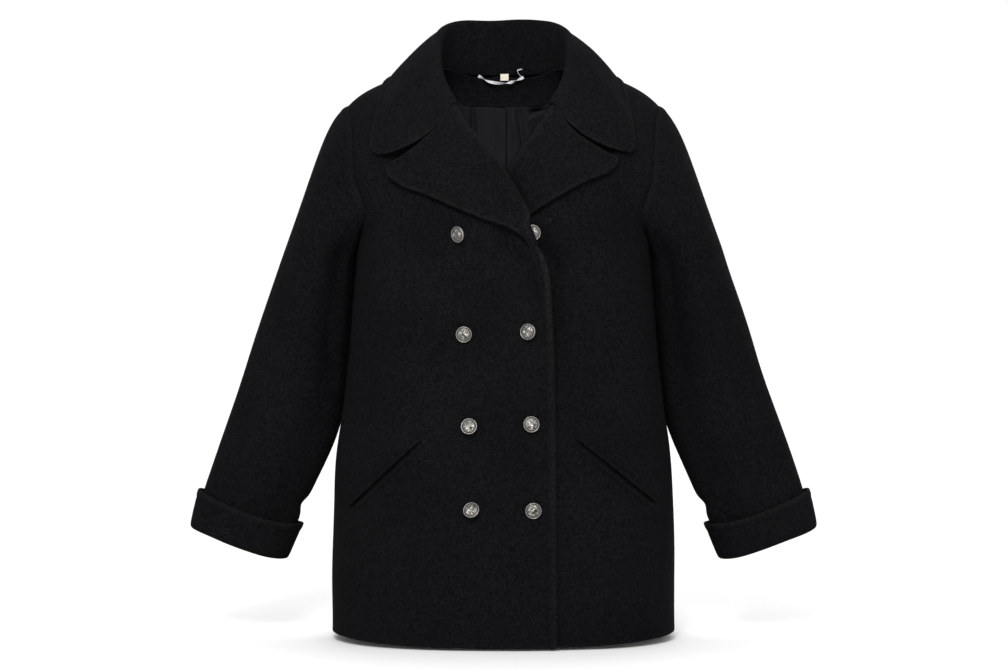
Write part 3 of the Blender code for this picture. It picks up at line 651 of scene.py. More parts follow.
# the same melton made 1.75 times paler: painted light against the shade inside the neck
woolFacingPaintedLight = makeWool("woolFacingPaintedLight", 1.75)
liningSatin = makeSatin()
buttonMetal = makePewter()
loopRibbon = makeTape("satinRibbon", (0.56, 0.57, 0.6), (0.24, 0.25, 0.28), 900.0, 0.3, 0.42)
tabTape = makeTape("tabTape", (0.72, 0.67, 0.56), (0.5, 0.46, 0.38), 700.0, 0.1, 0.7)
print("materials: wool, collar wool, facing wool, lining, pewter, ribbon, tape")


# fronts

pockets = {
    "along": 72,
    "across": (24, 20, 20),  # rows of the lower lip, the slit and the upper lip
    "slit": (-0.02, 0.0, 0.2),
    "right": (0.11, -0.5107, 0.208, -0.6035),
    "left": (0.096, -0.508, 0.207, -0.599),
    "reach": 0.01,  # half the width of both lips
    "overrun": 0.004,
    "narrower": 0.55,
    "wall": 0.001,
    "endSunk": 0.001,
    "troughDeep": 0.008,
    "troughWide": 0.0042,
    "troughBelow": 0.0012,
    "troughEnds": (0.001, 0.008),
    # across from the lower edge (-1) to the upper edge (1): height over the front
    "profile": {
        "at": (
            -1, -0.9, -0.76, -0.62, -0.5, -0.38, -0.24, -0.08, 0.02, 0.06, 0.13, 0.16, 0.2, 0.3, 0.42, 0.58, 0.78,
            1,
        ),
        "height": (
            -0.0012, -0.0002, 0.001, 0.0016, 0.0013, -0.0002, -0.0019, -0.003, -0.004, -0.0056, -0.0056, 0.0006,
            0.002, 0.002, 0.0012, 0.0003, -0.0008, -0.0014,
        ),
    },
    # paler lower and upper lips: wear and painted highlight where the lips stand up
    "worn": ((0.14, -0.62, 0.16), (0.1, 0.27, 0.08)),  # strength, place, width
}

fronts = {
    "bodyRows": 104,
    "yokeRows": 92,
    "columns": 40,
    # distances of the crowded rows and columns from the hem, the front edge and the side seam
    "hemSteps": (0.0, 0.0015, 0.003, 0.005, 0.0075, 0.0105, 0.014, 0.018),
    "edgeSteps": (
        0.0, 0.0014, 0.0028, 0.0042, 0.0056, 0.007, 0.0084, 0.0096, 0.0106, 0.0116, 0.0128, 0.0145, 0.017, 0.02,
        0.0235, 0.028, 0.0335,
    ),
    "sideSteps": (0.0, 0.0016, 0.0032, 0.005, 0.0072, 0.01, 0.0135, 0.018),
    # bands along the right front's edge, up to top; from slimFrom on, in and wide lose their second number
    "top": (-0.232, 0.03),
    "slimFrom": (-0.4, 0.12),
    "roll": {"high": 0.0021, "in": (0.004, 0.0016), "wide": (0.0046, 0.0022), "sunk": 0.1, "reach": 0.03},
    "stitching": {"deep": 0.0004, "in": (0.0106, 0.0044), "wide": (0.0012, 0.0)},
    # a paler band along the edge: wear, and painted highlight where the roll catches the light
    "worn": {"low": 0.26, "high": 0.4, "from": (-0.42, 0.14), "in": (0.003, 0.0007), "wide": (0.003, 0.0011)},
    "standing": {"high": 0.0056, "wide": 0.03, "span": (-0.52, 0.12, -0.255, 0.03)},
    # the doubled cloth along the right front's edge
    "thicker": {"right": 0.0012, "left": 0, "wide": 0.012, "below": (-0.25, 0.04)},
    "plainEdge": (0.02, 0.09),  # the covered edge of the left front has no folds
    "notchDeep": 0.009,
    "notchWide": 0.005,
    "notchSquash": 0.75,
    "notchEnds": (0.008, 0.01),
    "notch": {
        "right": {
            "at": (0.084, 0.0995, 0.1225, 0.1456, 0.16),
            "z": (-0.083, -0.096, -0.1145, -0.1285, -0.135),
        },
        "left": {
            "at": (0.07, 0.0914, 0.1104, 0.1307, 0.154),
            "z": (-0.072, -0.0886, -0.1011, -0.1127, -0.1236),
        },
    },
    "uneven": {"right": (0.00055, 0.11, 5), "left": (0.00055, 0.11, 3)},  # height, size, seed
    # x0, z0, x1, z1, width, depth, bow
    "folds": {
        "right": (
            (0.193, -0.04, 0.188, -0.122, 0.01, -0.0034, 0.002),
            (0.01, -0.22, -0.034, -0.276, 0.0085, -0.01, 0.002),
            (-0.028, -0.248, -0.051, -0.345, 0.0065, -0.0072, 0),
            (0.15, -0.14, 0.196, -0.33, 0.013, -0.0016, 0.006), (0.176, -0.17, 0.206, -0.3, 0.01, 0.0012, 0.004),
            (0.06, -0.235, 0.15, -0.3, 0.02, -0.001, -0.01), (0.01, -0.25, 0.06, -0.42, 0.022, 0.0012, 0.008),
            (0.12, -0.33, 0.195, -0.43, 0.024, -0.0014, 0.01), (0.02, -0.62, 0.03, -0.78, 0.022, -0.001, 0.004),
            (0.165, -0.62, 0.19, -0.78, 0.024, -0.0014, -0.008), (0.09, -0.6, 0.11, -0.77, 0.026, 0.0012, 0.008),
            (0.062, -0.245, 0.05, -0.33, 0.012, 0.0008, 0.003),
        ),
        "left": (
            (-0.006, -0.136, 0.044, -0.214, 0.011, -0.0092, 0), (0.05, -0.222, 0.068, -0.3, 0.008, -0.0095, 0),
            (0.067, -0.262, 0.075, -0.45, 0.0075, -0.0078, 0), (0.193, -0.04, 0.188, -0.128, 0.01, -0.0034, 0.002),
            (0.148, -0.13, 0.172, -0.275, 0.011, -0.0026, 0.007),
            (0.175, -0.175, 0.204, -0.31, 0.011, 0.0018, 0.006),
            (0.19, -0.215, 0.208, -0.33, 0.008, -0.0012, 0.003), (0.11, -0.545, 0.17, -0.64, 0.012, -0.002, 0.006),
            (0.082, -0.56, 0.098, -0.77, 0.022, -0.0018, 0.006), (0.12, -0.6, 0.14, -0.78, 0.026, 0.0014, -0.006),
            (0.185, -0.6, 0.2, -0.78, 0.022, -0.0014, 0.004), (0.12, -0.33, 0.195, -0.44, 0.024, -0.0014, 0.01),
            (0.09, -0.27, 0.11, -0.44, 0.024, 0.0012, -0.008),
        ),
    },
    # how far the left front's facing shows past the roll of its lapel, by height
    "facingPeek": {
        "at": (-0.128, -0.115, -0.105, -0.097, -0.09, -0.084, -0.08, -0.0765, -0.072, -0.066, -0.06),
        "out": (0, 0.004, 0.0095, 0.012, 0.018, 0.0222, 0.021, 0.014, 0.007, 0.002, 0),
    },
}


def bodyLevels():
    # rises of the rows: crowded at the hem, even to the underarm, even to the shoulder
    low = np.linspace(fronts["hemSteps"][-1], bodyTall, fronts["bodyRows"])[1:]
    low = np.concatenate([fronts["hemSteps"], low]) / bodyTall
    return low, np.linspace(0, 1, fronts["yokeRows"] + 1)[1:]


def frontEnds():
    # theta and rise at both ends of each row; the inner one solves edge x = frontEdge(height there)
    low, up = bodyLevels()
    rise = np.concatenate([low, 1 + up])
    climb = np.sin(np.clip(rise - 1, 0, 1) * quarter) ** (2 / body["arch"][-1])
    height = levelOf(rise)
    edge = curveAt(body["frontEdge"], "x", height)
    for _ in range(20):
        edge = curveAt(body["frontEdge"], "x", height + climb * (shoulderHeight(edge) - body["underarm"]))
    tall = height + climb * (shoulderHeight(edge) - body["underarm"])
    side, sideRise = armhole(-1, up)
    outer = np.concatenate([np.full(len(low), quarter), side])
    return edge, tall, rise, outer, np.concatenate([low, sideRise])


def liftedHem(theta, rise):
    # rows near the hem rise towards the side seams by hemLift * sin(theta)^2
    near = np.clip(1 - rise * bodyTall / body["hemSoft"], 0, 1)
    return rise + body["hemLift"] / bodyTall * np.sin(theta) ** 2 * near


def frontGrid(under):
    edge, tall, innerRise, outer, outerRise = frontEnds()
    if under:
        edge = edge - curveAt(fronts["facingPeek"], "out", tall)
    inner = place(-1, edge, tall)[0]

    def at(share):
        theta = inner[:, None] + (outer - inner)[:, None] * share
        return theta, innerRise[:, None] + (outerRise - innerRise)[:, None] * share

    # the columns keep their distances from both edges, measured along each row
    share = np.linspace(0, 1, 91)
    arc = stepsAlong(torso(-1, *at(share)), 1)
    width = arc[:, -1:]
    start, end = np.array(fronts["edgeSteps"]), np.array(fronts["sideSteps"])
    even = np.linspace(0, 1, fronts["columns"] + 2)[1:-1]
    wanted = np.hstack([
        np.broadcast_to(start, (len(arc), len(start))),
        start[-1] + (width - start[-1] - end[-1]) * even,
        width - end[::-1],
    ])
    share = np.array([np.interp(w, a, share) for w, a in zip(wanted, arc)])
    theta, rise = at(share)
    points = torso(-1, theta, liftedHem(theta, rise))
    if under:
        points = moved(points, -coverDepth(points[..., 0], points[..., 2]))
    return inset(points, cloth["wall"] / 2, cloth["seam"], cloth["wall"] / 2, cloth["seam"])


def frontHand(x, z, side):
    # the folds and unevenness of a front at this width and height
    return folds(x, z, fronts["folds"][side]) + uneven(x, z, *fronts["uneven"][side])


def notchTrough(x, z, side):
    # a hollow in the front under the gap between collar and lapel: deep * exp(-(distance to its line / width)^2)
    line = fronts["notch"][side]
    away = (z - curveAt(line, "z", x)) * fronts["notchSquash"]
    inside = ease((x - line["at"][0]) / fronts["notchEnds"][0]) * ease((line["at"][-1] - x) / fronts["notchEnds"][1])
    return fronts["notchDeep"] * bell(away, fronts["notchWide"]) * inside


def pocketTrough(x, z, side):
    # a narrow hollow under the pocket's slit: deep * exp(-(away / width)^4), fading at the slit's ends
    along, away, length = lineFrame(x, z, *pockets[side])
    over, fade = pockets["troughEnds"]
    inside = ease((along + over) / fade) * ease((length + over - along) / fade)
    return pockets["troughDeep"] * np.exp(-((away + pockets["troughBelow"]) / pockets["troughWide"]) ** 4) * inside


def edgeBand(edge, slim, ridge):
    # exp(-((edge - in) / wide)^2), where slim takes each second number off its first
    return bell(edge - ridge["in"][0] + ridge["in"][1] * slim, ridge["wide"][0] - ridge["wide"][1] * slim)


def frontRelief(points, side):
    # folds, unevenness, a dip at each seam, and at the front edge a raised roll inside a row of stitching
    x, z = points[..., 0], points[..., 2]
    edge, hem = stepsAlong(points, 1), stepsAlong(points, 0)
    fromSide = edge[:, -1:] - edge
    relief = frontHand(x, z, side) - pocketTrough(x, z, side) - notchTrough(x, z, side)
    relief = relief - seamDip(fromSide, hem[-1:] - hem)
    wearAndHighlight = wornHem(hem)
    if side == "left":
        relief = relief * ease((edge - fronts["plainEdge"][0]) / fronts["plainEdge"][1])
    else:
        roll, stitching, worn, standing = (fronts[key] for key in ("roll", "stitching", "worn", "standing"))
        below = ease((fronts["top"][0] - z) / fronts["top"][1])
        slim = ease((z - fronts["slimFrom"][0]) / fronts["slimFrom"][1])
        raised = (edgeBand(edge, slim, roll) - roll["sunk"]) * (edge < roll["reach"])
        relief = relief + (roll["high"] * raised - stitching["deep"] * edgeBand(edge, slim, stitching)) * below
        relief = relief + standing["high"] * bell(edge, standing["wide"]) * between(z, *standing["span"])
        # the paler band on the edge roll: worn cloth and painted highlight
        strength = worn["low"] + worn["high"] * ease((z - worn["from"][0]) / worn["from"][1])
        wearAndHighlight = wearAndHighlight + strength * edgeBand(edge, slim, worn) * below
    return relief * seamFade(fromSide), wearAndHighlight


for hand, side in hands:
    nodeName = "front_" + side
    base = frontGrid(side == "left")
    relief, wearAndHighlight = frontRelief(base, side)
    thicker = fronts["thicker"]
    low = ease((thicker["below"][0] - base[..., 2]) / thicker["below"][1])
    wall = cloth["wall"] + thicker[side] * bell(stepsAlong(base, 1), thicker["wide"]) * low
    shaped = moved(base, relief)
    piece = clothShell("coat_" + nodeName, shaped, wall, [woolCloth, liningSatin], hand=hand, wearAndHighlight=wearAndHighlight)
    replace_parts(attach(piece, "root"), nodeName)
print("fronts done")


# back

back = {
    "neckColumns": 20,
    "columns": 44,
    "crowded": 1.15,  # towards the side seam
    "neckSeamZ": 0.006,
    "neckCurve": 2.2,
    "uneven": (0.0006, 0.12, 11),
    "folds": (
        (-0.12, -0.12, -0.165, -0.33, 0.016, -0.0018, 0.008), (0.125, -0.115, 0.168, -0.34, 0.015, -0.002, -0.006),
        (-0.02, -0.33, -0.05, -0.7, 0.026, 0.0014, 0.01), (0.05, -0.36, 0.03, -0.76, 0.028, -0.0014, -0.008),
        (-0.11, -0.42, -0.135, -0.77, 0.026, -0.0018, 0.012), (0.125, -0.45, 0.15, -0.77, 0.026, 0.0016, 0.01),
        (-0.185, -0.5, -0.19, -0.77, 0.02, -0.0012, 0.004), (0.08, -0.18, -0.06, -0.23, 0.024, 0.001, 0.008),
    ),
}


def backGrid():
    # the back, mirrored about its middle: the top edge is a neckline of share^neckCurve, then the shoulder seam
    low, up = bodyLevels()
    side, sideRise = armhole(1, up)
    neckShare = float(place(1, np.array(body["neckX"]), np.array(back["neckSeamZ"]))[0]) / body["shoulderPoint"]
    neckRise = float(place(1, np.array(0.0), np.array(0.0))[1])
    outer = np.linspace(neckShare, 1, back["columns"] + 1)[1:]
    outer = neckShare + (1 - neckShare) * (1 - (1 - (outer - neckShare) / (1 - neckShare)) ** back["crowded"])
    across = np.concatenate([np.linspace(0, neckShare, back["neckColumns"] + 1), outer])
    top = neckRise + (2 - neckRise) * np.clip(across / neckShare, 0, 1) ** back["neckCurve"]
    share = up[:, None] + (sideRise - 1 - up)[:, None] * across
    theta = np.vstack([np.outer(np.full(len(low), quarter), across), np.outer(side, across)])
    rise = np.vstack([np.outer(low, np.ones(len(across))), 1 + share * (top - 1)])
    half = inset(torso(1, theta, liftedHem(theta, rise)), cloth["wall"] / 2, cloth["seam"], 0, cloth["seam"])
    return np.hstack([half[:, ::-1], half[:, 1:] * (-1, 1, 1)])


backBase = backGrid()
fromSide = nearerEnd(stepsAlong(backBase, 1))
fromHem = stepsAlong(backBase, 0)
fromTop = fromHem[-1:] - fromHem
x, z = backBase[..., 0], backBase[..., 2]
relief = folds(x, z, back["folds"]) + uneven(x, z, *back["uneven"]) - seamDip(fromSide, fromTop)
relief = relief * seamFade(np.minimum(fromSide, fromTop))
shaped = moved(backBase, relief)
piece = clothShell("coat_back", shaped, cloth["wall"], [woolCloth, liningSatin], wearAndHighlight=wornHem(fromHem))
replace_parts(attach(piece, "root"), "back")
print("back done")


# sleeves and cuffs

sleeves = {
    "columns": 132,
    "capRows": 30,
    "capCrowded": 1.15,
    "armRows": 92,
    "lastRing": 7,
    "rings": {
        "at": (1, 2, 3, 4, 5, 6, 7, 8),
        "x": (0.2506, 0.2618, 0.2795, 0.3024, 0.3346, 0.3558, 0.3683, 0.3735),
        "y": (0.003, 0.013, 0.026, 0.027, 0.017, 0.008, 0.004, 0.004),
        "z": (-0.2557, -0.301, -0.3874, -0.4725, -0.555, -0.612, -0.65, -0.666),
        "halfWidth": (0.0525, 0.0575, 0.0695, 0.074, 0.0705, 0.0668, 0.0652, 0.0645),
        "halfDepth": (0.074, 0.07, 0.062, 0.054, 0.047, 0.04, 0.036, 0.035),
        "tilt": (21, 21, 21, 21, 20.5, 19, 20, 20.5),
    },  # at is the ring's number down the arm
    "gap": 0.0009,
    "clearance": 0.001,
    "clearFrom": 0.05,
    "freeAbove": 0.006,  # the underarm
    "softness": 0.002,
    # the cap leaves the armhole along start and meets the arm along arm; pull is how strongly each is felt
    "start": (0.86, -0.08, -0.5),
    "arm": (math.sin(math.radians(20)), 0.06, -math.cos(math.radians(20))),
    "pull": (0.5, 1.45),
    "relaxed": 6,
    "uneven": (0.0006, 0.1),
    "unevenLong": 0.45,
    "foldStretch": (2, 2.2),
    "foldEnds": (0.03, 0.1),
    "seamRoll": (0.0009, 0.006, 0.004),  # height, place, width
    # a paler band by the armhole seam: wear and painted highlight
    "worn": (0.12, 0.003, 0.004),
    # hollows before and behind the underarm line: strength, turns from it, width; then where they begin and ease off
    "hollowDeep": 0.015,
    "hollows": ((1, -0.85, 0.5), (0.7, 0.85, 0.5), (-0.12, 0, 0.35)),
    "hollowFrom": (0.12, 0.13),
    "hollowLess": (0.5, 0.5, 0.22),
    "hollowTop": (0.004, 0.02),
    # against the body there are fewer folds: how much fewer, turns and share of the length, each with its fade
    "calm": (0.85, 0.85, 0.5, 0.62, 0.1),
    "dent": (0.0052, 0.5, 0.807, 0.024),  # where it meets the side: depth, turns wide, place and width down the arm
    # turn0, down0, turn1, down1 (turns and shares of the length), width, depth, bow
    "folds": {
        "right": (
            (1.2, 0.3, 2.6, 0.52, 0.05, -0.0022, 0.02), (1.6, 0.48, 2.9, 0.6, 0.04, 0.002, 0.02),
            (0.4, 0.52, 1.7, 0.64, 0.045, -0.0018, -0.02), (1.3, 0.66, 2.8, 0.78, 0.04, -0.002, 0.02),
            (0.2, 0.76, 1.6, 0.88, 0.035, 0.0015, 0.01), (3.5, 0.4, 5.1, 0.55, 0.05, -0.0022, 0.03),
            (3.8, 0.58, 5.6, 0.7, 0.045, 0.0018, -0.02), (3.4, 0.74, 5, 0.84, 0.04, -0.0018, 0.02),
            (0.9, 0.12, 1.5, 0.34, 0.06, -0.0014, 0.03),
        ),
        "left": (
            (1.1, 0.36, 2.5, 0.5, 0.05, -0.002, 0.02), (1.5, 0.52, 2.9, 0.64, 0.04, 0.002, -0.02),
            (0.3, 0.56, 1.6, 0.68, 0.045, -0.0018, 0.02), (1.4, 0.7, 2.8, 0.82, 0.04, -0.002, 0.02),
            (0.3, 0.8, 1.5, 0.9, 0.035, 0.0015, -0.01), (3.6, 0.36, 5.2, 0.5, 0.05, -0.0022, 0.02),
            (3.7, 0.56, 5.5, 0.66, 0.045, 0.0018, 0.02), (3.5, 0.76, 5.2, 0.86, 0.04, -0.0018, 0.02),
            (0.8, 0.14, 1.5, 0.32, 0.06, -0.0014, -0.03),
        ),
    },
}

cuffs = {
    "rows": (30, 9, 14),
    "first": 5.94,
    "firstWave": (0.15, 0.02),
    "fold": 7.38,
    "foldRaised": (0.24, 0.55),
    "foldHigh": 0.09,
    "insideTop": 6.55,
    # how far out from the sleeve's inner face the cuff lies, down its outside and up its inside
    "outside": {
        "at": (5.9, 6.3, 6.7, 7.1, 7.38),
        "out": (0.0074, 0.0066, 0.0056, 0.0046, 0.0036),
    },
    "inside": {
        "at": (6.55, 7, 7.38),
        "out": (-0.0052, -0.005, -0.0042),
    },
    "outsideLong": (0.072, 0.02),
    "uneven": (0.0005, 0.06),
    "edgeRoll": (0.0008, 0.004, 0.005),  # height or strength, place, width
    "stitching": (0.0005, 0.0105, 0.0014),
    # paler bands at the free edge and at the fold: wear and painted highlight
    "wornEdge": (0.35, 0.001, 0.003),
    "wornFold": (0.1, 0.063, 0.006),
}
tubeSize = 0.06  # radius that stands for a sleeve's where unevenness is laid round it


def armholeRing(phi):
    # points round the armhole: phi 0 is the shoulder point, a quarter turn the front, a half turn the underarm
    front = phi <= math.pi
    v = np.where(front, 1 - phi / math.pi, phi / math.pi - 1)
    points, normals = np.zeros((len(phi), 3)), np.zeros((len(phi), 3))
    step = 0.01
    for side, chosen in ((-1, front), (1, ~front)):
        theta, rise = armhole(side, v[chosen])
        here = torso(side, theta, rise)
        across = here - torso(side, theta - step, rise)
        upward = here - torso(side, theta, rise - step)
        points[chosen] = here
        normals[chosen] = unit(np.cross(across, upward)) * -side
    return points, normals


def sleeveRing(ring, phi, out=0.0):
    # an ellipse square to the sleeve's tilt: halfWidth * cos(phi) outward, halfDepth * sin(phi) forward
    rings = sleeves["rings"]
    centre = pointsAt(rings, ("x", "y", "z"), ring)
    tilt = np.radians(curveAt(rings, "tilt", ring))
    wide = (curveAt(rings, "halfWidth", ring) + out) * np.cos(phi)
    deep = (curveAt(rings, "halfDepth", ring) + out) * np.sin(phi)
    return centre + np.stack([wide * np.cos(tilt), -deep, wide * np.sin(tilt)], -1)


def clearOfSide(points, clearance):
    # x is at least the body's half width there plus both walls and the clearance, softly
    x, y, z = points[..., 0], points[..., 1], points[..., 2]
    height = np.minimum(z, body["underarm"])
    front, rear = curveAt(body["form"], "front", height), curveAt(body["form"], "back", height)
    share = np.clip(np.abs(y - body["middle"]) / np.where(y < body["middle"], front, rear), 0, 1)
    limit = halfWidth(height, 0.0) * (1 - share ** body["power"]) ** (1 / body["power"])
    limit = limit + 2 * cloth["wall"] + clearance
    limit = np.where(z > body["underarm"] + sleeves["freeAbove"], -1.0, limit)
    return np.stack([np.maximum(softMax(x, limit, sleeves["softness"]), limit), y, z], -1)


def sleeveGrid():
    # the cap: a cubic from the armhole, leaving along start, to the first ring, arriving along the arm; then rings
    phi = np.linspace(0, 2 * math.pi, sleeves["columns"], endpoint=False)
    start, normal = armholeRing(phi)
    way = unit(np.array(sleeves["start"]) * np.stack([np.ones_like(phi), np.sin(phi), np.ones_like(phi)], -1))
    facing = np.clip((normal * way).sum(-1), 0, 1)
    start = start + way * (sleeves["gap"] + cloth["wall"] * facing)[:, None]
    end = sleeveRing(1.0, phi)
    length = np.linalg.norm(end - start, axis=-1)[:, None]
    t = (np.linspace(0, 1, sleeves["capRows"] + 1)[:-1] ** sleeves["capCrowded"])[:, None, None]
    leaving, arriving = sleeves["pull"]
    cap = start * (1 - t) ** 2 * (1 + 2 * t) + end * t * t * (3 - 2 * t)
    cap = cap + way * length * leaving * t * (1 - t) ** 2
    cap = cap - np.array(sleeves["arm"]) * length * arriving * t * t * (1 - t)
    arms = sleeveRing(np.linspace(1, sleeves["lastRing"], sleeves["armRows"])[:, None], phi)
    points = np.concatenate([cap, arms])
    free = ease((body["underarm"] - points[..., 2]) / sleeves["clearFrom"])
    points = clearOfSide(points, cloth["seam"] + sleeves["clearance"] * free)
    return np.concatenate([points[:1], relaxed(points, sleeves["relaxed"], ring=True)[1:]])


def cuffGrid():
    # from the free edge down the outside, round the fold as a half circle, and up the inside
    phi = np.linspace(0, 2 * math.pi, sleeves["columns"], endpoint=False)
    first = cuffs["first"] + cuffs["firstWave"][0] * np.sin(phi) ** 2 + cuffs["firstWave"][1] * np.sin(3 * phi + 1)
    fold = cuffs["fold"] - cuffs["foldRaised"][0] * bell(phi - math.pi, cuffs["foldRaised"][1])
    outsideRows, foldRows, insideRows = cuffs["rows"]
    outside = first + (fold - first) * np.linspace(0, 1, outsideRows)[:, None]
    inside = fold + (cuffs["insideTop"] - fold) * np.linspace(0, 1, insideRows)[:, None]
    outsideOut, insideOut = curveAt(cuffs["outside"], "out", outside), curveAt(cuffs["inside"], "out", inside)
    high, low = outsideOut[-1], insideOut[0]
    turn = np.linspace(0, math.pi, foldRows)[1:-1, None]
    foldOut = (high + low) / 2 + (high - low) / 2 * np.cos(turn)
    rings = np.concatenate([outside, fold + cuffs["foldHigh"] * np.sin(turn), inside])
    return sleeveRing(rings, phi, np.concatenate([outsideOut, foldOut, insideOut]))


def band(distance, strength, where, width):
    # strength * exp(-((distance - where) / width)^2)
    return strength * bell(distance - where, width)


def sleeveRelief(points, table, seed):
    # folds and unevenness, calm against the body, with the arm's hollows and a dent where it meets the side
    phi, down, seam = turnsOf(points), np.linspace(0, 1, points.shape[0])[:, None], stepsAlong(points, 0)
    longer, wider = sleeves["foldStretch"]
    table = [(a, longer * b, c, longer * d, w * wider, h, bow) for a, b, c, d, w, h, bow in table]
    relief = folds(phi + 0 * down, longer * down + 0 * phi, table)
    height, size = sleeves["uneven"]
    lengthwise = down * sleeves["unevenLong"] + tubeSize * np.sin(phi)
    relief = relief + uneven(tubeSize * np.cos(phi), lengthwise, height, size, seed)
    ends = ease(seam / sleeves["foldEnds"][0]) * ease((1 - down) / sleeves["foldEnds"][1])
    much, halfTurn, turnFade, length, lengthFade = sleeves["calm"]
    inner = ease((halfTurn - np.abs(phi - math.pi)) / turnFade) * ease((length - down) / lengthFade)
    deep, turns, where, width = sleeves["dent"]
    dent = deep * bell(phi - math.pi, turns) * bell(down - where, width)
    (start, rise), (less, lessFrom, lessOver) = sleeves["hollowFrom"], sleeves["hollowLess"]
    lower = ease((down - start) / rise) * (1 - less * ease((down - lessFrom) / lessOver))
    hollow = sum(band(phi - math.pi, *one) for one in sleeves["hollows"])
    topFrom, topOver = sleeves["hollowTop"]
    hollow = sleeves["hollowDeep"] * hollow * lower * ease((seam - topFrom) / topOver)
    return relief * ends * (1 - much * inner) + band(seam, *sleeves["seamRoll"]) - hollow - dent


for hand, side in hands:
    base = sleeveGrid()
    relief = sleeveRelief(base, sleeves["folds"][side], 21 + hand)
    # paler by the armhole seam: worn cloth and painted highlight
    worn = band(stepsAlong(base, 0), *sleeves["worn"])
    shaped = moved(base, relief, ring=True)
    cloths = [woolCloth, liningSatin]
    piece = clothShell("coat_sleeve_" + side, shaped, cloth["wall"], cloths, hand=hand, ring=True, wearAndHighlight=worn)
    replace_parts(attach(piece, "root"), "sleeve_" + side)

    base = cuffGrid()
    phi, down = turnsOf(base), stepsAlong(base, 0)
    height, size = cuffs["uneven"]
    outside = ease((cuffs["outsideLong"][0] - down) / cuffs["outsideLong"][1])
    relief = uneven(tubeSize * np.cos(phi) + 0 * down, tubeSize * np.sin(phi) + down, height, size, 31 + hand)
    relief = outside * relief + band(down, *cuffs["edgeRoll"]) - band(down, *cuffs["stitching"])
    # paler at the cuff's edge and fold: worn cloth and painted highlight
    worn = band(down, *cuffs["wornEdge"]) + band(down, *cuffs["wornFold"])
    shaped = moved(base, relief, ring=True)
    piece = clothShell("coat_cuff_" + side, shaped, cloth["cuffWall"], [woolCloth], hand=hand, ring=True, wearAndHighlight=worn)
    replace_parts(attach(piece, "root"), "cuff_" + side)
print("sleeves and cuffs done")


# lapels

lapels = {
    "rows": 120,
    "rowsCrowded": 1.08,
    "columns": 44,
    "columnsCrowded": 1.12,
    "curl": 11,
    "gap": 0.0021,
    "rollGap": 0.0018,
    "bow": {"right": 0.023, "left": 0.0248},
    "bowBend": 0.55,
    "bowOver": 0.08,
    # the left lapel is pressed down where the right one lies over it: x0, z0, x1, z1, width, depth, bow
    "pressed": ((-0.008, -0.136, 0.045, -0.218, 0.0056, -0.0062, 0),),
    "edgeLift": 0.0048,
    # the share across by which the cloth has come down on the front, and the shares down where it stops doing so
    "settled": (0.5, 0.72, 0.2),
    "tongue": (0.88, 0.05, 0.6),  # where the right lapel's lower end leaves the edge: share, over, how much nearer
    "relaxed": 4,
    "narrow": (0.012, 0.03),  # widths at which the relief begins and is full
    "uneven": (0.0005, 0.06),
    "unevenFrom": 0.01,
    "edgeRoll": (0.0009, 0.004, 0.004),  # height or strength, place, width
    "stitching": (0.0006, 0.0085, 0.0012),
    # paler bands at the edge and along the roll: wear and painted highlight where they catch the light
    "wornEdge": (0.28, 0, 0.0022),
    "wornRoll": (0.3, 0.0095, 0.0035),
    # at is the share down the roll line
    "right": {
        "at": (0, 0.03, 0.06, 0.09, 0.14, 0.3, 0.5, 0.7, 0.8, 0.88, 0.91, 0.94, 0.97, 1),
        "rollX": (
            0.065, 0.0626, 0.06, 0.0576, 0.0528, 0.036, 0.012, -0.0125, -0.0212, -0.029, -0.0296, -0.0345, -0.0402,
            -0.0448,
        ),
        "rollZ": (
            -0.05, -0.059, -0.0665, -0.0708, -0.077, -0.1, -0.132, -0.169, -0.1895, -0.21, -0.217, -0.2305, -0.2425,
            -0.256,
        ),
        "edgeX": (
            0.144, 0.1505, 0.153, 0.1515, 0.14, 0.1045, 0.06, 0.022, 0.0072, -0.0062, -0.0118, -0.0222, -0.0305,
            -0.0385,
        ),
        "edgeZ": (
            -0.139, -0.143, -0.149, -0.1555, -0.1655, -0.1815, -0.202, -0.217, -0.2215, -0.2262, -0.2292, -0.2338,
            -0.2432, -0.256,
        ),
        "radius": (
            0.0032, 0.0032, 0.0032, 0.0032, 0.0032, 0.0034, 0.0044, 0.0056, 0.005, 0.004, 0.003, 0.0022, 0.0014,
            0.0006,
        ),
        "lift": (
            0.00125, 0.00125, 0.00125, 0.00125, 0.00125, 0.00125, 0.00125, 0.00125, 0.0016, 0.0033, 0.0056, 0.0096,
            0.008, 0.002,
        ),
    },
    "left": {
        "at": (0, 0.03, 0.06, 0.09, 0.14, 0.32, 0.55, 0.78, 1),
        "rollX": (0.066, 0.063, 0.06, 0.0576, 0.0528, 0.036, 0.012, -0.0125, -0.0335),
        "rollZ": (-0.0505, -0.0595, -0.067, -0.0712, -0.077, -0.1, -0.132, -0.169, -0.212),
        "edgeX": (0.145, 0.1495, 0.15, 0.1478, 0.1405, 0.107, 0.0665, 0.028, -0.016),
        "edgeZ": (-0.131, -0.134, -0.138, -0.143, -0.1495, -0.166, -0.1885, -0.2095, -0.227),
        "radius": (0.0032, 0.0032, 0.0032, 0.0032, 0.0032, 0.0032, 0.0032, 0.0032, 0.0032),
        "lift": (0.00125, 0.00125, 0.00125, 0.00125, 0.00125, 0.00125, 0.00125, 0.00125, 0.00125),
    },
}


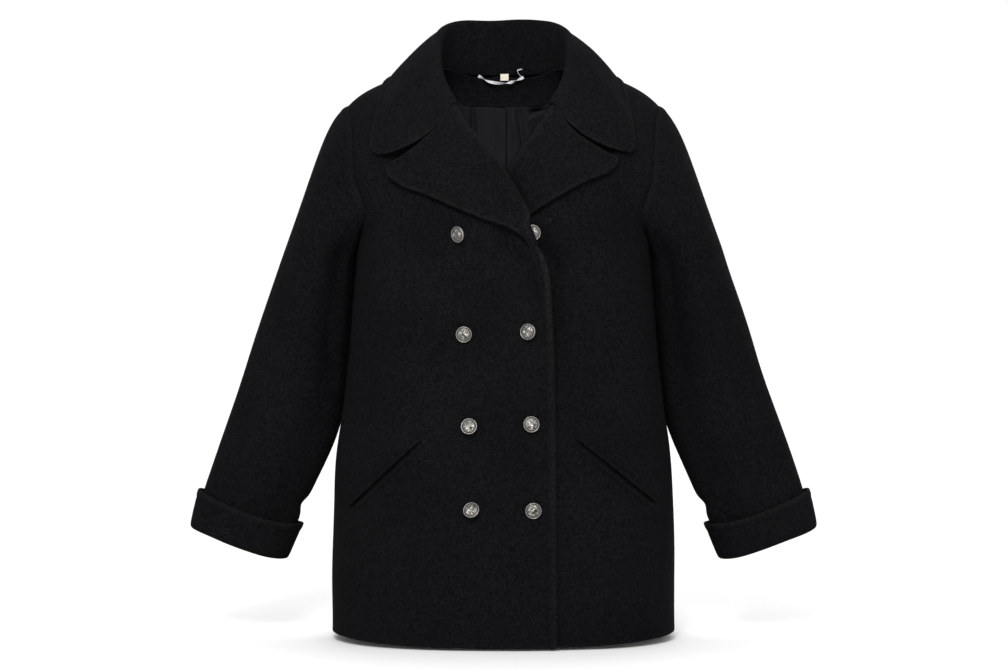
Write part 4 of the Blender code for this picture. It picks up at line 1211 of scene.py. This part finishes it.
def lapelGrid(side):
    # rows run down the roll line. Each turns round the roll as half a circle from under the front's edge,
    # then lies on the front out to the lapel's edge, with a sagging top edge
    table, under = lapels[side], side == "left"
    along = np.linspace(0, 1, lapels["rows"]) ** lapels["rowsCrowded"]
    roll = pointsAt(table, ("rollX", "rollZ"), along)
    tongue, over, nearer = lapels["tongue"]
    free = np.zeros_like(along) if under else ease((along - tongue) / over)
    roll[:, 0] = curveAt(body["frontEdge"], "x", roll[:, 1]) * (1 - free) + roll[:, 0] * free
    edge = pointsAt(table, ("edgeX", "edgeZ"), along)
    radius = curveAt(table, "radius", along)[:, None]
    down = unit(np.gradient(roll, axis=0))
    away = np.stack([down[:, 1], -down[:, 0]], -1)
    turn = np.linspace(-quarter, quarter, lapels["curl"])
    out = (lapels["rollGap"] + radius * np.cos(turn)) * (1 - nearer * free)[:, None]
    lift = curveAt(table, "lift", along)[:, None] + radius * (1 + np.sin(turn))
    curl = roll[:, None] + away[:, None] * out[..., None]
    share = 1 - (1 - np.linspace(0, 1, lapels["columns"] + 1)[1:]) ** lapels["columnsCrowded"]
    flat = roll[:, None] + (edge - roll)[:, None] * share[:, None]
    sag = lapels["bow"][side] * np.sin(math.pi * share ** lapels["bowBend"])
    flat[..., 1] -= sag * np.exp(-along / lapels["bowOver"])[:, None]
    rest = cloth["wall"] + cloth["lapelWall"] / 2 + lapels["gap"]
    across, start, over = lapels["settled"]
    settled = 1 - ease(share / across) * (1 - ease((along - start) / over))[:, None]
    flatLift = rest + (lift[:, -1:] - rest) * settled + lapels["edgeLift"] * share ** 3
    plan = np.concatenate([curl, flat], axis=1)
    height = np.concatenate([lift, flatLift], axis=1)
    points = onFront(plan[..., 0], plan[..., 1], height, under)[::-1]
    return relaxed(points, lapels["relaxed"])


for hand, side in hands:
    base = inset(lapelGrid(side), 0, cloth["lapelWall"] / 2, 0, cloth["lapelWall"] / 2)
    x, z = base[..., 0], base[..., 2]
    fromRoll, fromTop = stepsAlong(base, 1), stepsAlong(base, 0)
    nearest = np.minimum(fromRoll[:, -1:] - fromRoll, fromTop[-1:] - fromTop)
    wide = ease((fromRoll[:, -1:] - lapels["narrow"][0]) / lapels["narrow"][1])
    relief = uneven(x, z, *lapels["uneven"], 41 + hand) * ease(nearest / lapels["unevenFrom"]) * wide
    relief = relief + (band(nearest, *lapels["edgeRoll"]) - band(nearest, *lapels["stitching"])) * wide
    if side == "left":
        relief = relief + folds(x, z, lapels["pressed"])
    # paler at the edges and the roll: worn cloth and painted highlight
    wearAndHighlight = band(nearest, *lapels["wornEdge"]) * wide + band(fromRoll, *lapels["wornRoll"])
    shaped = moved(base, relief)
    piece = clothShell("coat_lapel_" + side, shaped, cloth["lapelWall"], [woolCollarPaintedLight], below=0.5, hand=hand, wearAndHighlight=wearAndHighlight)
    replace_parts(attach(piece, "root"), "lapel_" + side)
print("lapels done")


# collar

collar = {
    "columns": 84,  # on each half
    "columnsCrowded": 1.25,
    "stand": 8,
    "turn": 13,
    "fall": 40,
    "fallCrowded": 1.1,
    "roll": 0.0048,
    "bulge": 0.006,
    "gap": 0.0025,
    "thinner": 0.45,  # the cloth is pressed thinner where its edge lies on the shoulder
    "onShoulder": (0.12, 0.12, 0.46, 0.12),  # low, rise, high and fall along it
    "edgeWide": 0.03,
    "endsFrom": 0.045,  # above this the collar's ends are edges too
    "unevenFrom": (0.012, 0.03),  # from the edges, from the seam
    "cornerPower": 1.7,
    "relaxed": 5,
    # for the right and the left leaf: how far the front end sags and where, how much higher its corner lies,
    # how much shorter it falls, how far in the rounding of the corner begins, and how far it stands off the front
    "leaves": (
        {"sag": 0.018, "bend": 0.66, "raised": -0.0015, "shorter": 0.0, "round": 0.022, "standing": 0.008},
        {"sag": 0.0152, "bend": 0.7, "raised": 0.004, "shorter": 0.02, "round": 0.016, "standing": 0.0055},
    ),
    "uneven": (0.0006, 0.08, 51),
    "edgeRoll": (0.001, 0.0045, 0.0045),  # height or strength, place, width
    "stitching": (0.001, 0.0095, 0.0013),
    # paler bands at the edge and on top of the roll: wear and painted highlight
    "wornEdge": (0.28, 0, 0.0022),
    "wornRoll": (0.12, 0, 0.006),
    # at is the share from the front end to the middle of the back
    "form": {
        "at": (0, 0.06, 0.16, 0.32, 0.48, 0.62, 0.8, 1),
        "seamX": (0.0655, 0.072, 0.079, 0.086, 0.088, 0.079, 0.048, 0),
        "seamY": (-0.087, -0.074, -0.0585, -0.024, 0.012, 0.042, 0.0615, 0.068),
        "seamZ": (-0.057, -0.04, -0.025, -0.0005, 0.0095, 0.0075, 0.0045, 0.0035),
        "rollX": (0.065, 0.076, 0.0865, 0.0928, 0.0925, 0.0825, 0.054, 0),
        "rollY": (-0.0965, -0.08, -0.056, -0.024, 0.008, 0.036, 0.06, 0.069),
        "rollZ": (-0.054, -0.034, -0.01, 0.0245, 0.05, 0.0685, 0.0785, 0.0795),
        "edgeX": (0.1795, 0.1805, 0.18, 0.175, 0.167, 0.148, 0.085, 0),
        "edgeY": (-0.1, -0.096, -0.088, -0.055, 0.006, 0.056, 0.08, 0.088),
        "edgeZ": (-0.132, -0.1215, -0.098, -0.06, -0.018, -0.026, -0.02, -0.014),
    },
}


def clearOfShoulders(points, clearance):
    # pushed out from the middle of the chest to the yoke's own form |z/high|^q + |y/deep|^q = 1, softly
    x, y, z = points[..., 0], points[..., 1], points[..., 2]
    low, seamY = body["underarm"], body["shoulderSeamY"]
    front = y < seamY
    bend = np.where(front, body["arch"][-1], body["arch"][1])
    depth = np.where(front, -curveAt(body["form"], "front", low), curveAt(body["form"], "back", low))
    share = np.clip(np.abs(x) / halfWidth(low, 1.0), 0, 1)
    foot = body["middle"] + depth * (1 - share ** body["power"]) ** (1 / body["power"])
    high = shoulderHeight(x) - low + clearance
    deep = np.abs(foot - seamY) + clearance
    size = (np.abs((z - low) / high) ** bend + np.abs((y - seamY) / deep) ** bend) ** (1 / bend)
    push = np.where(1 / size < 0.94, 1, softMax(1, 1 / size, 0.012))[..., None]
    centre = np.stack([x, seamY + 0 * x, low + 0 * x], -1)
    return centre + (points - centre) * push


def collarGrid():
    # each column rises from the neck seam, turns over the roll as half a circle and falls to the outer edge;
    # the wearer's left half is the mirror of the right one, with a shorter fall at the front
    along = np.linspace(0, 1, collar["columns"] + 1) ** collar["columnsCrowded"]
    lines = [[line + axis for axis in "XYZ"] for line in ("seam", "roll", "edge")]
    seam, roll, edge = (pointsAt(collar["form"], line, along) for line in lines)
    radius = collar["roll"]
    way = unit(np.gradient(roll, axis=0))
    way[-1] = (-1, 0, 0)
    outward = unit(np.stack([-way[:, 1], way[:, 0], np.zeros(len(along))], -1)) * -1
    upward = np.cross(outward, way)
    upward *= np.sign(upward[:, 2:])
    centre = roll - upward * radius
    inner = centre - outward * radius
    columns = [seam + (inner - seam) * share for share in np.linspace(0, 1, collar["stand"] + 1)[:-1]]
    for turn in np.linspace(0, math.pi, collar["turn"]):
        columns.append(centre + radius * (upward * math.sin(turn) - outward * math.cos(turn)))
    start = centre + outward * radius
    side = unit(np.cross(edge - start, way))
    side *= np.sign((side * (outward + upward)).sum(-1, keepdims=True))
    share = (1 - (1 - np.linspace(0, 1, collar["fall"] + 1)[1:]) ** collar["fallCrowded"])[:, None]
    thin = 1 - collar["thinner"] * between(along, *collar["onShoulder"]) * share ** 2
    settled = share ** 3 * ease(along / 0.3)
    rest = cloth["wall"] + cloth["collarWall"] / 2 * thin + collar["gap"] * (1 - 0.9 * settled)
    fromFront = stepsAlong(edge, 0)
    fallLength = np.linalg.norm(edge - start, axis=-1)
    bulge = collar["bulge"] * np.sin(math.pi * share ** 0.7)[..., None] * ease(along / 0.35)[:, None]
    halves = []
    for leaf in collar["leaves"]:
        # a rounded corner: with r its size and d = r - fromFront, the fall ends r - (r^n - d^n)^(1/n) early
        size, n = leaf["round"], collar["cornerPower"]
        near = np.clip(size - fromFront, 0, size)
        early = (size - (size ** n - near ** n) ** (1 / n)) / fallLength
        reach = (1 - leaf["shorter"] * (1 - ease(along / 0.8)))[:, None]
        reach = reach - (early * share ** 4)[..., None]
        fall = start + (edge - start) * share[..., None] * reach + side * bulge
        fall[..., 2] -= leaf["sag"] * np.sin(math.pi * share ** leaf["bend"]) * np.exp(-along / 0.07)
        fall[..., 2] += leaf["raised"] * share ** 2 * np.exp(-along / 0.1)
        clearance = rest + leaf["standing"] * np.exp(-along / 0.12) * share
        # being pushed clear of the shoulders must not raise the front ends, so they are aimed lower in turns
        aim = fall.copy()
        for _ in range(5):
            cleared = clearOfShoulders(aim, clearance)
            aim[..., 2] += (fall[..., 2] - cleared[..., 2]) * (1 - ease(along / 0.34))
        halves.append(np.concatenate([np.array(columns), cleared]))
    points = np.hstack([halves[0] * (-1, 1, 1), halves[1][:, -2::-1]])
    return relaxed(points, collar["relaxed"])


base = inset(collarGrid(), 0, *[cloth["collarWall"] / 2] * 3)
fromSeam, fromEnd = stepsAlong(base, 0), nearerEnd(stepsAlong(base, 1))
fromEdge = fromSeam[-1:] - fromSeam
nearest = np.minimum(fromEdge, np.where(fromSeam > collar["endsFrom"], fromEnd, 1.0))
across = np.linspace(-1, 1, base.shape[1])[None]
relief = uneven(0.45 * across + 0 * fromSeam, fromSeam, *collar["uneven"])
relief = relief * ease(nearest / collar["unevenFrom"][0]) * ease(fromSeam / collar["unevenFrom"][1])
relief = relief + band(nearest, *collar["edgeRoll"]) - band(nearest, *collar["stitching"])
topOfRoll = fromSeam[collar["stand"] + collar["turn"] - 1][None]
# paler at the edges and on top of the roll: worn cloth and painted highlight
wearAndHighlight = band(nearest, *collar["wornEdge"]) + band(fromSeam - topOfRoll, *collar["wornRoll"])
onShoulder = between((1 - np.abs(across)) ** collar["columnsCrowded"], *collar["onShoulder"])
onShoulder = onShoulder * ease((collar["edgeWide"] - fromEdge) / collar["edgeWide"])
wall = cloth["collarWall"] * (1 - collar["thinner"] * onShoulder)
piece = clothShell("coat_collar", moved(base, relief), wall, [woolCollarPaintedLight], below=0.5, wearAndHighlight=wearAndHighlight)
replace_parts(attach(piece, "root"), "collar")
print("collar done")


# back neck facing and lining

inside = {
    "backingGap": 0.0006,
    "facingWall": 0.0015,
    "liningWall": 0.001,
    "edgeGap": 0.001,
    "liningFrom": 0.02,  # above the hem
    "facingFrom": 0.73,  # share of the yoke
    "facingLow": -0.0404,
    "facingLevel": ((0, 0.052, 0.086), (1, 1, 0)),  # across from the middle: share of facingLow that is kept to
    "facingTop": (0.0015, 0.003, 0.0045),
    "facingSunk": 0.0008,
    "facingUneven": (0.0004, 0.05, 61),
    # a paler band at the facing's lower edge: wear and painted highlight
    "facingWearAndHighlight": (0.1, 0, 0.004),
    "split": 4,
    "blendRows": 22,
    "liningSunk": 0.003,
    "liningUneven": (0.0005, 0.07, 71),
    "pleatEdge": 0.0012,
    "pleatTop": 0.02,
    "pleatWide": 0.022,
    "pleatDeep": 0.005,
    "lapWide": 0.01,
    "pleatLap": 0.0035,
    "folds": (
        (-0.047, -0.03, -0.042, -0.11, 0.005, -0.006, 0.001), (-0.04, -0.03, -0.036, -0.12, 0.005, 0.0034, 0.001),
        (0.018, -0.03, 0.028, -0.12, 0.0045, -0.005, 0.002), (0.011, -0.03, 0.018, -0.12, 0.005, 0.0024, 0.002),
        (0.036, -0.036, 0.066, -0.046, 0.006, 0.0042, 0.002), (0.036, -0.054, 0.064, -0.042, 0.004, -0.006, 0.002),
        (-0.12, -0.1, -0.15, -0.5, 0.014, 0.0028, 0.01), (0.11, -0.12, 0.15, -0.48, 0.014, 0.0028, -0.01),
        (-0.06, -0.35, -0.07, -0.74, 0.016, -0.0025, 0.01), (0.07, -0.3, 0.08, -0.74, 0.018, 0.0026, 0.01),
    ),
}

lowLevels, upLevels = bodyLevels()
levels = np.concatenate([lowLevels, 1 + upLevels])
lastColumn = backBase.shape[1] - 1
start, stop = lastColumn // 2 - back["neckColumns"], lastColumn // 2 + back["neckColumns"]
facingRow = int(np.searchsorted(levels, 1 + inside["facingFrom"]))
liningRow = int(np.searchsorted(levels, inside["liningFrom"] / bodyTall))
backing = moved(backBase, -inside["backingGap"])


def levelTop(points, edgeHeight, blend):
    # each column is moved down or up so that the facing's lower edge lies level across the middle
    level = np.interp(np.abs(points[..., 0]), *inside["facingLevel"])
    points = points.copy()
    points[..., 2] += level * (inside["facingLow"] - edgeHeight) * blend
    return points


facing = backing[facingRow:, start:stop + 1]
facing = levelTop(facing, facing[:1, :, 2], np.linspace(1, 0, facing.shape[0])[:, None])
facing = inset(facing, inside["edgeGap"], 0, inside["edgeGap"], inside["edgeGap"])
# its top runs on up behind the foot of the collar
upward = unit(facing[-1] - facing[-3])
facing = np.concatenate([facing, [facing[-1] + upward * step for step in inside["facingTop"]]])
fromEdge = stepsAlong(facing, 0)
relief = uneven(facing[..., 0], facing[..., 2], *inside["facingUneven"]) * ease(fromEdge / 0.008)
# paler at its lower edge: worn cloth and painted highlight
shaped, worn = moved(facing, relief - inside["facingSunk"]), band(fromEdge, *inside["facingWearAndHighlight"])
piece = clothShell("coat_back_neck_facing", shaped, inside["facingWall"], [woolFacingPaintedLight], below=1.0, wearAndHighlight=worn)
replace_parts(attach(piece, "root"), "back_neck_facing")

# the lining's columns are the back's, and in the neck part each gap between them is split further
fine = np.linspace(start, stop, (stop - start) * inside["split"] + 1)
places = np.concatenate([np.arange(start), fine, np.arange(stop + 1, lastColumn + 1)])
lower = np.minimum(places.astype(int), lastColumn - 1)
part = (places - lower)[:, None]
lining = backing[liningRow:]
lining = lining[:, lower] * (1 - part) + lining[:, lower + 1] * part
lining = inset(lining, 0, inside["edgeGap"], inside["edgeGap"], inside["edgeGap"])
notchRow, blendRows = facingRow - liningRow, inside["blendRows"]
blend = ease((np.arange(len(lining)) - notchRow + blendRows) / blendRows)[:, None]
lining = levelTop(lining, lining[notchRow:notchRow + 1, :, 2], blend)
x, z = lining[..., 0], lining[..., 2]
# the pleat: a step that rises slowly on one side of the middle and laps over the other side
pleat = (x < inside["pleatEdge"]) * ease((inside["pleatTop"] - z) / 0.02)
climb = ease((x + inside["pleatWide"]) / inside["pleatWide"]) * pleat
lap = ease((x + inside["lapWide"]) / inside["lapWide"]) * pleat
relief = -inside["pleatDeep"] * climb - folds(x, z, inside["folds"]) - inside["liningSunk"]
relief = relief + uneven(x, z, *inside["liningUneven"])
relief = relief * ease(nearerEnd(stepsAlong(lining, 1)) / 0.02) * ease((stepsAlong(lining, 0) + 0.01) / 0.03)
shaped = moved(lining, relief)
shaped[..., 0] += inside["pleatLap"] * lap
notch = (notchRow, start, start + len(fine) - 1)
piece = clothShell("coat_lining_back", shaped, inside["liningWall"], [liningSatin], below=1.0, notch=notch)
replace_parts(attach(piece, "root"), "lining_back")
print("facing and lining done")


# pockets

def pocketGrid(side):
    # along the slit (s from -1 to 1) and across it (w from -1 to 1): height = profile(w) over the front's own
    # hand, so that the outer edges sink into the cloth; the ends close as |s|^8
    x0, z0, x1, z1 = pockets[side]
    middle = np.array([(x0 + x1) / 2, (z0 + z1) / 2])
    half = np.array([(x1 - x0) / 2, (z1 - z0) / 2])
    length = np.linalg.norm(half)
    way = half / length
    aside = np.array([-way[1], way[0]])
    s = np.sin(np.linspace(-quarter, quarter, pockets["along"]))[None]
    (low, slit, high), (lowEnd, slitFrom, slitEnd) = pockets["across"], pockets["slit"]
    w = [np.linspace(-1, lowEnd, low), np.linspace(slitFrom, slitEnd, slit)[:-1], np.linspace(slitEnd, 1, high)]
    w = np.concatenate(w)[:, None]
    ends = np.abs(s) ** 8
    plan = middle + (s * (length + pockets["overrun"]))[..., None] * way
    plan = plan + (w * pockets["reach"] * (1 - pockets["narrower"] * ends))[..., None] * aside
    lips = curveAt(pockets["profile"], "height", w)
    lips = lips * (1 + 0.15 * np.sin(7 * s + 2)) * (1 - ends) - pockets["endSunk"] * ends
    lips = np.where(lips < 0, lips * (1 - ease((np.abs(s) - 0.88) / 0.1)), lips)
    height = cloth["wall"] + lips + frontHand(plan[..., 0], plan[..., 1], side)
    # paler on the lips: worn cloth and painted highlight
    wearAndHighlight = sum(band(w, *one) for one in pockets["worn"])
    return onFront(plan[..., 0], plan[..., 1], height, side == "left"), wearAndHighlight


for hand, side in hands:
    base, wearAndHighlight = pocketGrid(side)
    piece = clothShell("coat_pocket_" + side, base, pockets["wall"], [woolCloth], below=1.0, hand=hand, wearAndHighlight=wearAndHighlight)
    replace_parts(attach(piece, "root"), "pocket_" + side)
print("pockets done")


# buttons

buttons = {
    "radius": 0.011,
    "rimHigh": 0.0036,
    "domeHigh": 0.0022,
    "gap": 0.0015,
    "steps": 96,
    "blobs": 26,
    "domeRings": (0.012, 0.78, 30),
    "rimRings": (0.805, 1.0, 14),
    # heights of the cast relief and of the ring and groove, then the place and width of each of these two
    "relief": 0.00062,
    "line": 0.0005,
    "ring": (0.93, 0.045),
    "groove": (0.82, 0.04),
    # radius and height down the back of the button
    "back": (
        (1, 0.002), (0.96, 0.0015), (0.8, 0.0013), (0.3, 0.0012), (0.29, -0.001), (0.2, -0.0012), (0.012, -0.0012),
    ),
    # name, x, z, then how the button hangs on its thread: the lean of the axis it turns about, and the turn
    "places": (
        ("outer_1", 0.0582, -0.2345, 15, -36), ("outer_2", 0.052, -0.3675, 80, -8),
        ("outer_3", 0.0453, -0.4914, -80, -12), ("outer_4", 0.0418, -0.6027, -68, -27),
        ("inner_1", -0.0382, -0.2325, 0, 0), ("inner_2", -0.0332, -0.3645, -6, -28),
        ("inner_3", -0.0364, -0.4882, 20, 6), ("inner_4", -0.0393, -0.602, 85, -10),
    ),
}


def buttonGrid(seed):
    # a dome with a thin rim: height = domeHigh * (1 - r^2), a ring, a groove inside it, and in the middle
    # a worn cast relief, the sum of seeded soft blobs exp(-(away / width)^2) and a few short curved ridges.
    # The back is flat with a short shank.
    random = np.random.default_rng(seed)
    t = np.linspace(0, 2 * math.pi, buttons["steps"], endpoint=False)[None]
    r = np.concatenate([np.linspace(*buttons["domeRings"]), np.linspace(*buttons["rimRings"])])[:, None]
    x, y = r * np.cos(t), r * np.sin(t)
    field = 0 * x
    for k in range(buttons["blobs"]):
        way, far = random.uniform(0, 2 * math.pi), 0.66 * random.uniform(0.05, 1) ** 0.6
        wide, long, lean = random.uniform(0.05, 0.11), random.uniform(0.1, 0.26), random.uniform(0, math.pi)
        dx, dy = x - far * math.cos(way), y - far * math.sin(way)
        u, v = dx * math.cos(lean) + dy * math.sin(lean), dy * math.cos(lean) - dx * math.sin(lean)
        sign = 1 if k % 3 else -0.8
        field = field + sign * random.uniform(0.5, 1) * np.exp(-(u / long) ** 2 - ((v - 1.2 * u * u) / wide) ** 2)
    field = np.clip(field, -1, 1.3) * ease((0.8 - r) / 0.14)
    ring, groove = band(r, 1, *buttons["ring"]), band(r, 1, *buttons["groove"])
    relief = buttons["relief"] * field + buttons["line"] * (ring - groove) - 0.0008 * ease((r - 0.95) / 0.05)
    height = buttons["rimHigh"] + buttons["domeHigh"] * (1 - r ** 2) + relief
    shine = np.clip(0.4 + 0.42 * field + 0.36 * ring - 0.34 * groove, 0, 1)
    backRadii, backHeights = np.array(buttons["back"]).T[..., None]
    radii = buttons["radius"] * np.concatenate([r, backRadii])
    tall = np.concatenate([height, backHeights + 0 * t])
    shine = np.concatenate([shine, 0.45 * (backRadii > 0.9) + 0.1 + 0 * t])
    return np.stack([radii * np.cos(t), radii * np.sin(t), tall], -1), shine


def buttonPlace(x, z, lean, hang):
    # where the button's back lies and the way it is turned
    lift = cloth["wall"] + buttons["gap"]
    low, high = (onFront(np.array(x), np.array(z), np.array(some)) * (-1, 1, 1) for some in (lift, lift + 0.01))
    outward = Vector(high - low).normalized()
    upright = Vector((-math.sin(math.radians(lean)), 0, math.cos(math.radians(lean))))
    turn = Quaternion(upright, math.radians(hang)) @ Vector((0, 0, 1)).rotation_difference(outward)
    # a turned button stands off far enough for its lower side to stay clear of the cloth
    low = low + np.array(outward) * buttons["radius"] * 0.62 * math.sin(math.radians(abs(hang)))
    return low, np.array(turn.to_matrix()).T


for number, (name, *where) in enumerate(buttons["places"]):
    points, shine = buttonGrid(7 + number)
    rows, columns = points.shape[:2]
    faces = gridFaces(rows, columns, ring=True).reshape(-1, 4)[:, ::-1]
    first, last, size = np.arange(columns), np.arange(columns) + (rows - 1) * columns, rows * columns
    tips = np.concatenate([
        np.stack([first, np.roll(first, -1), np.full(columns, size)], -1),
        np.stack([np.roll(last, -1), last, np.full(columns, size + 1)], -1),
    ])
    low, turned = buttonPlace(*where)
    points = np.vstack([points.reshape(-1, 3), points[0].mean(0), points[-1].mean(0)]) @ turned + low
    shine = np.append(shine.ravel(), (0.7, 0.1))
    piece = meshObject("coat_button_" + name, points, faces.tolist() + tips.tolist(), [buttonMetal], shine)
    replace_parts(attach(piece, "root"), "button_" + name)
print("buttons done")


# hanger loop and tab

loop = {
    "path": {
        "at": (0, 0.25, 0.5, 0.75, 1),
        "x": (-0.0356, -0.02, 0, 0.015, 0.0284),
        "y": (0.059, 0.059, 0.0585, 0.059, 0.0592),
        "z": (0.0006, -0.0075, -0.01, -0.007, -0.0014),
    },
    "tail": {
        "at": (0, 0.35, 0.65, 1),
        "x": (0.029, 0.0225, 0.02, 0.0265),
        "y": (0.0605, 0.06, 0.0596, 0.06),
        "z": (-0.003, 0.003, 0.0085, 0.0105),
    },
    "ribbon": (90, 3.0, 0.0019),  # steps, half turns, half the width
    "tailRibbon": (30, 1.2, 0.0006),
    "wall": 0.0005,
}
tab = {
    "size": (0.0114, 0.0093),
    "place": (0.0014, 0.0617, -0.001),
    "wall": 0.00022,
    "steps": (18, 16, 9),  # across, down a face and round the fold
    "foldRadius": 0.0003,
    "foldRoom": 0.0004,
    "ripple": 0.0006,
    "lean": 0.0018,
}


def ribbonGrid(table, count, turns, halfWide):
    # a strip carried along the path, turning about it: edge = path + halfWide * (across * cos a + upright * sin a)
    t = np.linspace(0, 1, count)
    path = pointsAt(table, ("x", "y", "z"), t)
    way = unit(np.gradient(path, axis=0))
    across = unit(np.cross(way, (0, 1, 0)))
    upright = np.cross(way, across)
    angle = turns * math.pi * t[:, None] + 0.35 * np.sin(9 * t)[:, None]
    side = across * np.cos(angle) + upright * np.sin(angle)
    return path[:, None] + side[:, None] * np.linspace(-1, 1, 7)[None, :, None] * halfWide


def tabGrid():
    # the tab is a tape folded double, open at the top: a U of two faces with a round fold at the foot
    wide, tall = tab["size"]
    acrossSteps, faceSteps, foldSteps = tab["steps"]
    foot, radius = -tall / 2 + tab["foldRoom"], tab["foldRadius"]
    turn = np.linspace(0, math.pi, foldSteps)[1:-1]
    face = np.linspace(tall / 2, foot, faceSteps)
    downZ = np.concatenate([face, foot - radius * np.sin(turn), np.linspace(foot, tall / 2, faceSteps)])
    downY = np.concatenate([np.full(faceSteps, -radius), -radius * np.cos(turn), np.full(faceSteps, radius)])
    x = np.linspace(-wide / 2, wide / 2, acrossSteps)[None]
    grid = np.stack(np.broadcast_arrays(x, downY[:, None], downZ[:, None]), -1) + np.array(tab["place"])
    lean = tab["lean"] * ((grid[..., 2] - tab["place"][2]) / tall)
    grid[..., 1] -= tab["ripple"] * np.sin(grid[..., 0] * 300) + lean
    return grid[::-1]


strip, tailStrip = ribbonGrid(loop["path"], *loop["ribbon"]), ribbonGrid(loop["tail"], *loop["tailRibbon"])
piece = clothShell("coat_hanger_loop", strip, loop["wall"], [loopRibbon], below=0.5)
tail = clothShell("coat_hanger_loop_tail", tailStrip, loop["wall"], [loopRibbon], below=0.5)
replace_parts(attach(piece, "root"), "hanger_loop")
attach(tail, "root")

piece = clothShell("coat_size_tab", tabGrid(), tab["wall"], [tabTape], below=0.5)
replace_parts(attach(piece, "root"), "size_tab")
print("loop and tab done")


# floor, light and camera

studio = {
    "floorZ": -0.7892,
    "floorSize": 60.0,
    "floorTone": 0.68,
    "distance": 3.2,
    "eyeHeight": -0.37,
    "sensor": 36.0,
    "lens": 81.633,
    "shift": 0.000496,
    "backdrop": 1.02,
    # the main lamp: a soft box up on the wearer's right
    "key": {"place": (-0.3, -2.6, 1.15), "aim": (0.0, 0.0, -0.35), "size": 0.9, "power": 79.0},
    # name, the way it comes from, strength, how wide the source looks in degrees
    "lights": (
        ("fill", (0.5, -1.0, -0.02), 0.88, 50.0),
        ("top", (0.0, 0.6, 1.0), 1.35, 60.0),
        ("rear", (0.3, 1.0, 0.25), 1.2, 60.0),
    ),
}

reach = studio["floorSize"]
floorMesh = bpy.data.meshes.new("floor")
corners = [(x, y, studio["floorZ"]) for x, y in ((-reach, -reach), (reach, -reach), (reach, reach), (-reach, reach))]
floorMesh.from_pydata(corners, [], [(0, 1, 2, 3)])
pale, tree, shader = startMaterial("paleFloor")
shader.inputs["Base Color"].default_value = (*[studio["floorTone"]] * 3, 1.0)
shader.inputs["Roughness"].default_value = 0.9
shader.inputs["Specular IOR Level"].default_value = 0.1
floorMesh.materials.append(pale)
floor = linked("floor", floorMesh)
floor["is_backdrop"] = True

world = bpy.data.worlds.new("studio")
world.use_nodes = True
world.node_tree.nodes["Background"].inputs[0].default_value = (1.0, 1.0, 1.0, 1.0)
world.node_tree.nodes["Background"].inputs[1].default_value = studio["backdrop"]
bpy.context.scene.world = world


def addLight(name, kind, strength, way):
    # a light that shines from way
    data = bpy.data.lights.new(name, kind)
    data.energy = strength
    made = linked(name, data)
    made.rotation_mode = "QUATERNION"
    made.rotation_quaternion = Vector(way).to_track_quat("Z", "Y")
    return made


for name, way, strength, wide in studio["lights"]:
    addLight(name, "SUN", strength, way).data.angle = math.radians(wide)
key = studio["key"]
lamp = addLight("key", "AREA", key["power"], Vector(key["place"]) - Vector(key["aim"]))
lamp.location = key["place"]
lamp.data.shape, lamp.data.size = "DISK", key["size"]

cameraData = bpy.data.cameras.new("camera")
cameraData.sensor_width, cameraData.lens, cameraData.shift_x = studio["sensor"], studio["lens"], studio["shift"]
camera = linked("camera", cameraData)
camera.location = (0, -studio["distance"], studio["eyeHeight"])
camera.rotation_euler = (quarter, 0, 0)
bpy.context.scene.camera = camera
bpy.context.scene.view_settings.view_transform = "Standard"

low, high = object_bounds()
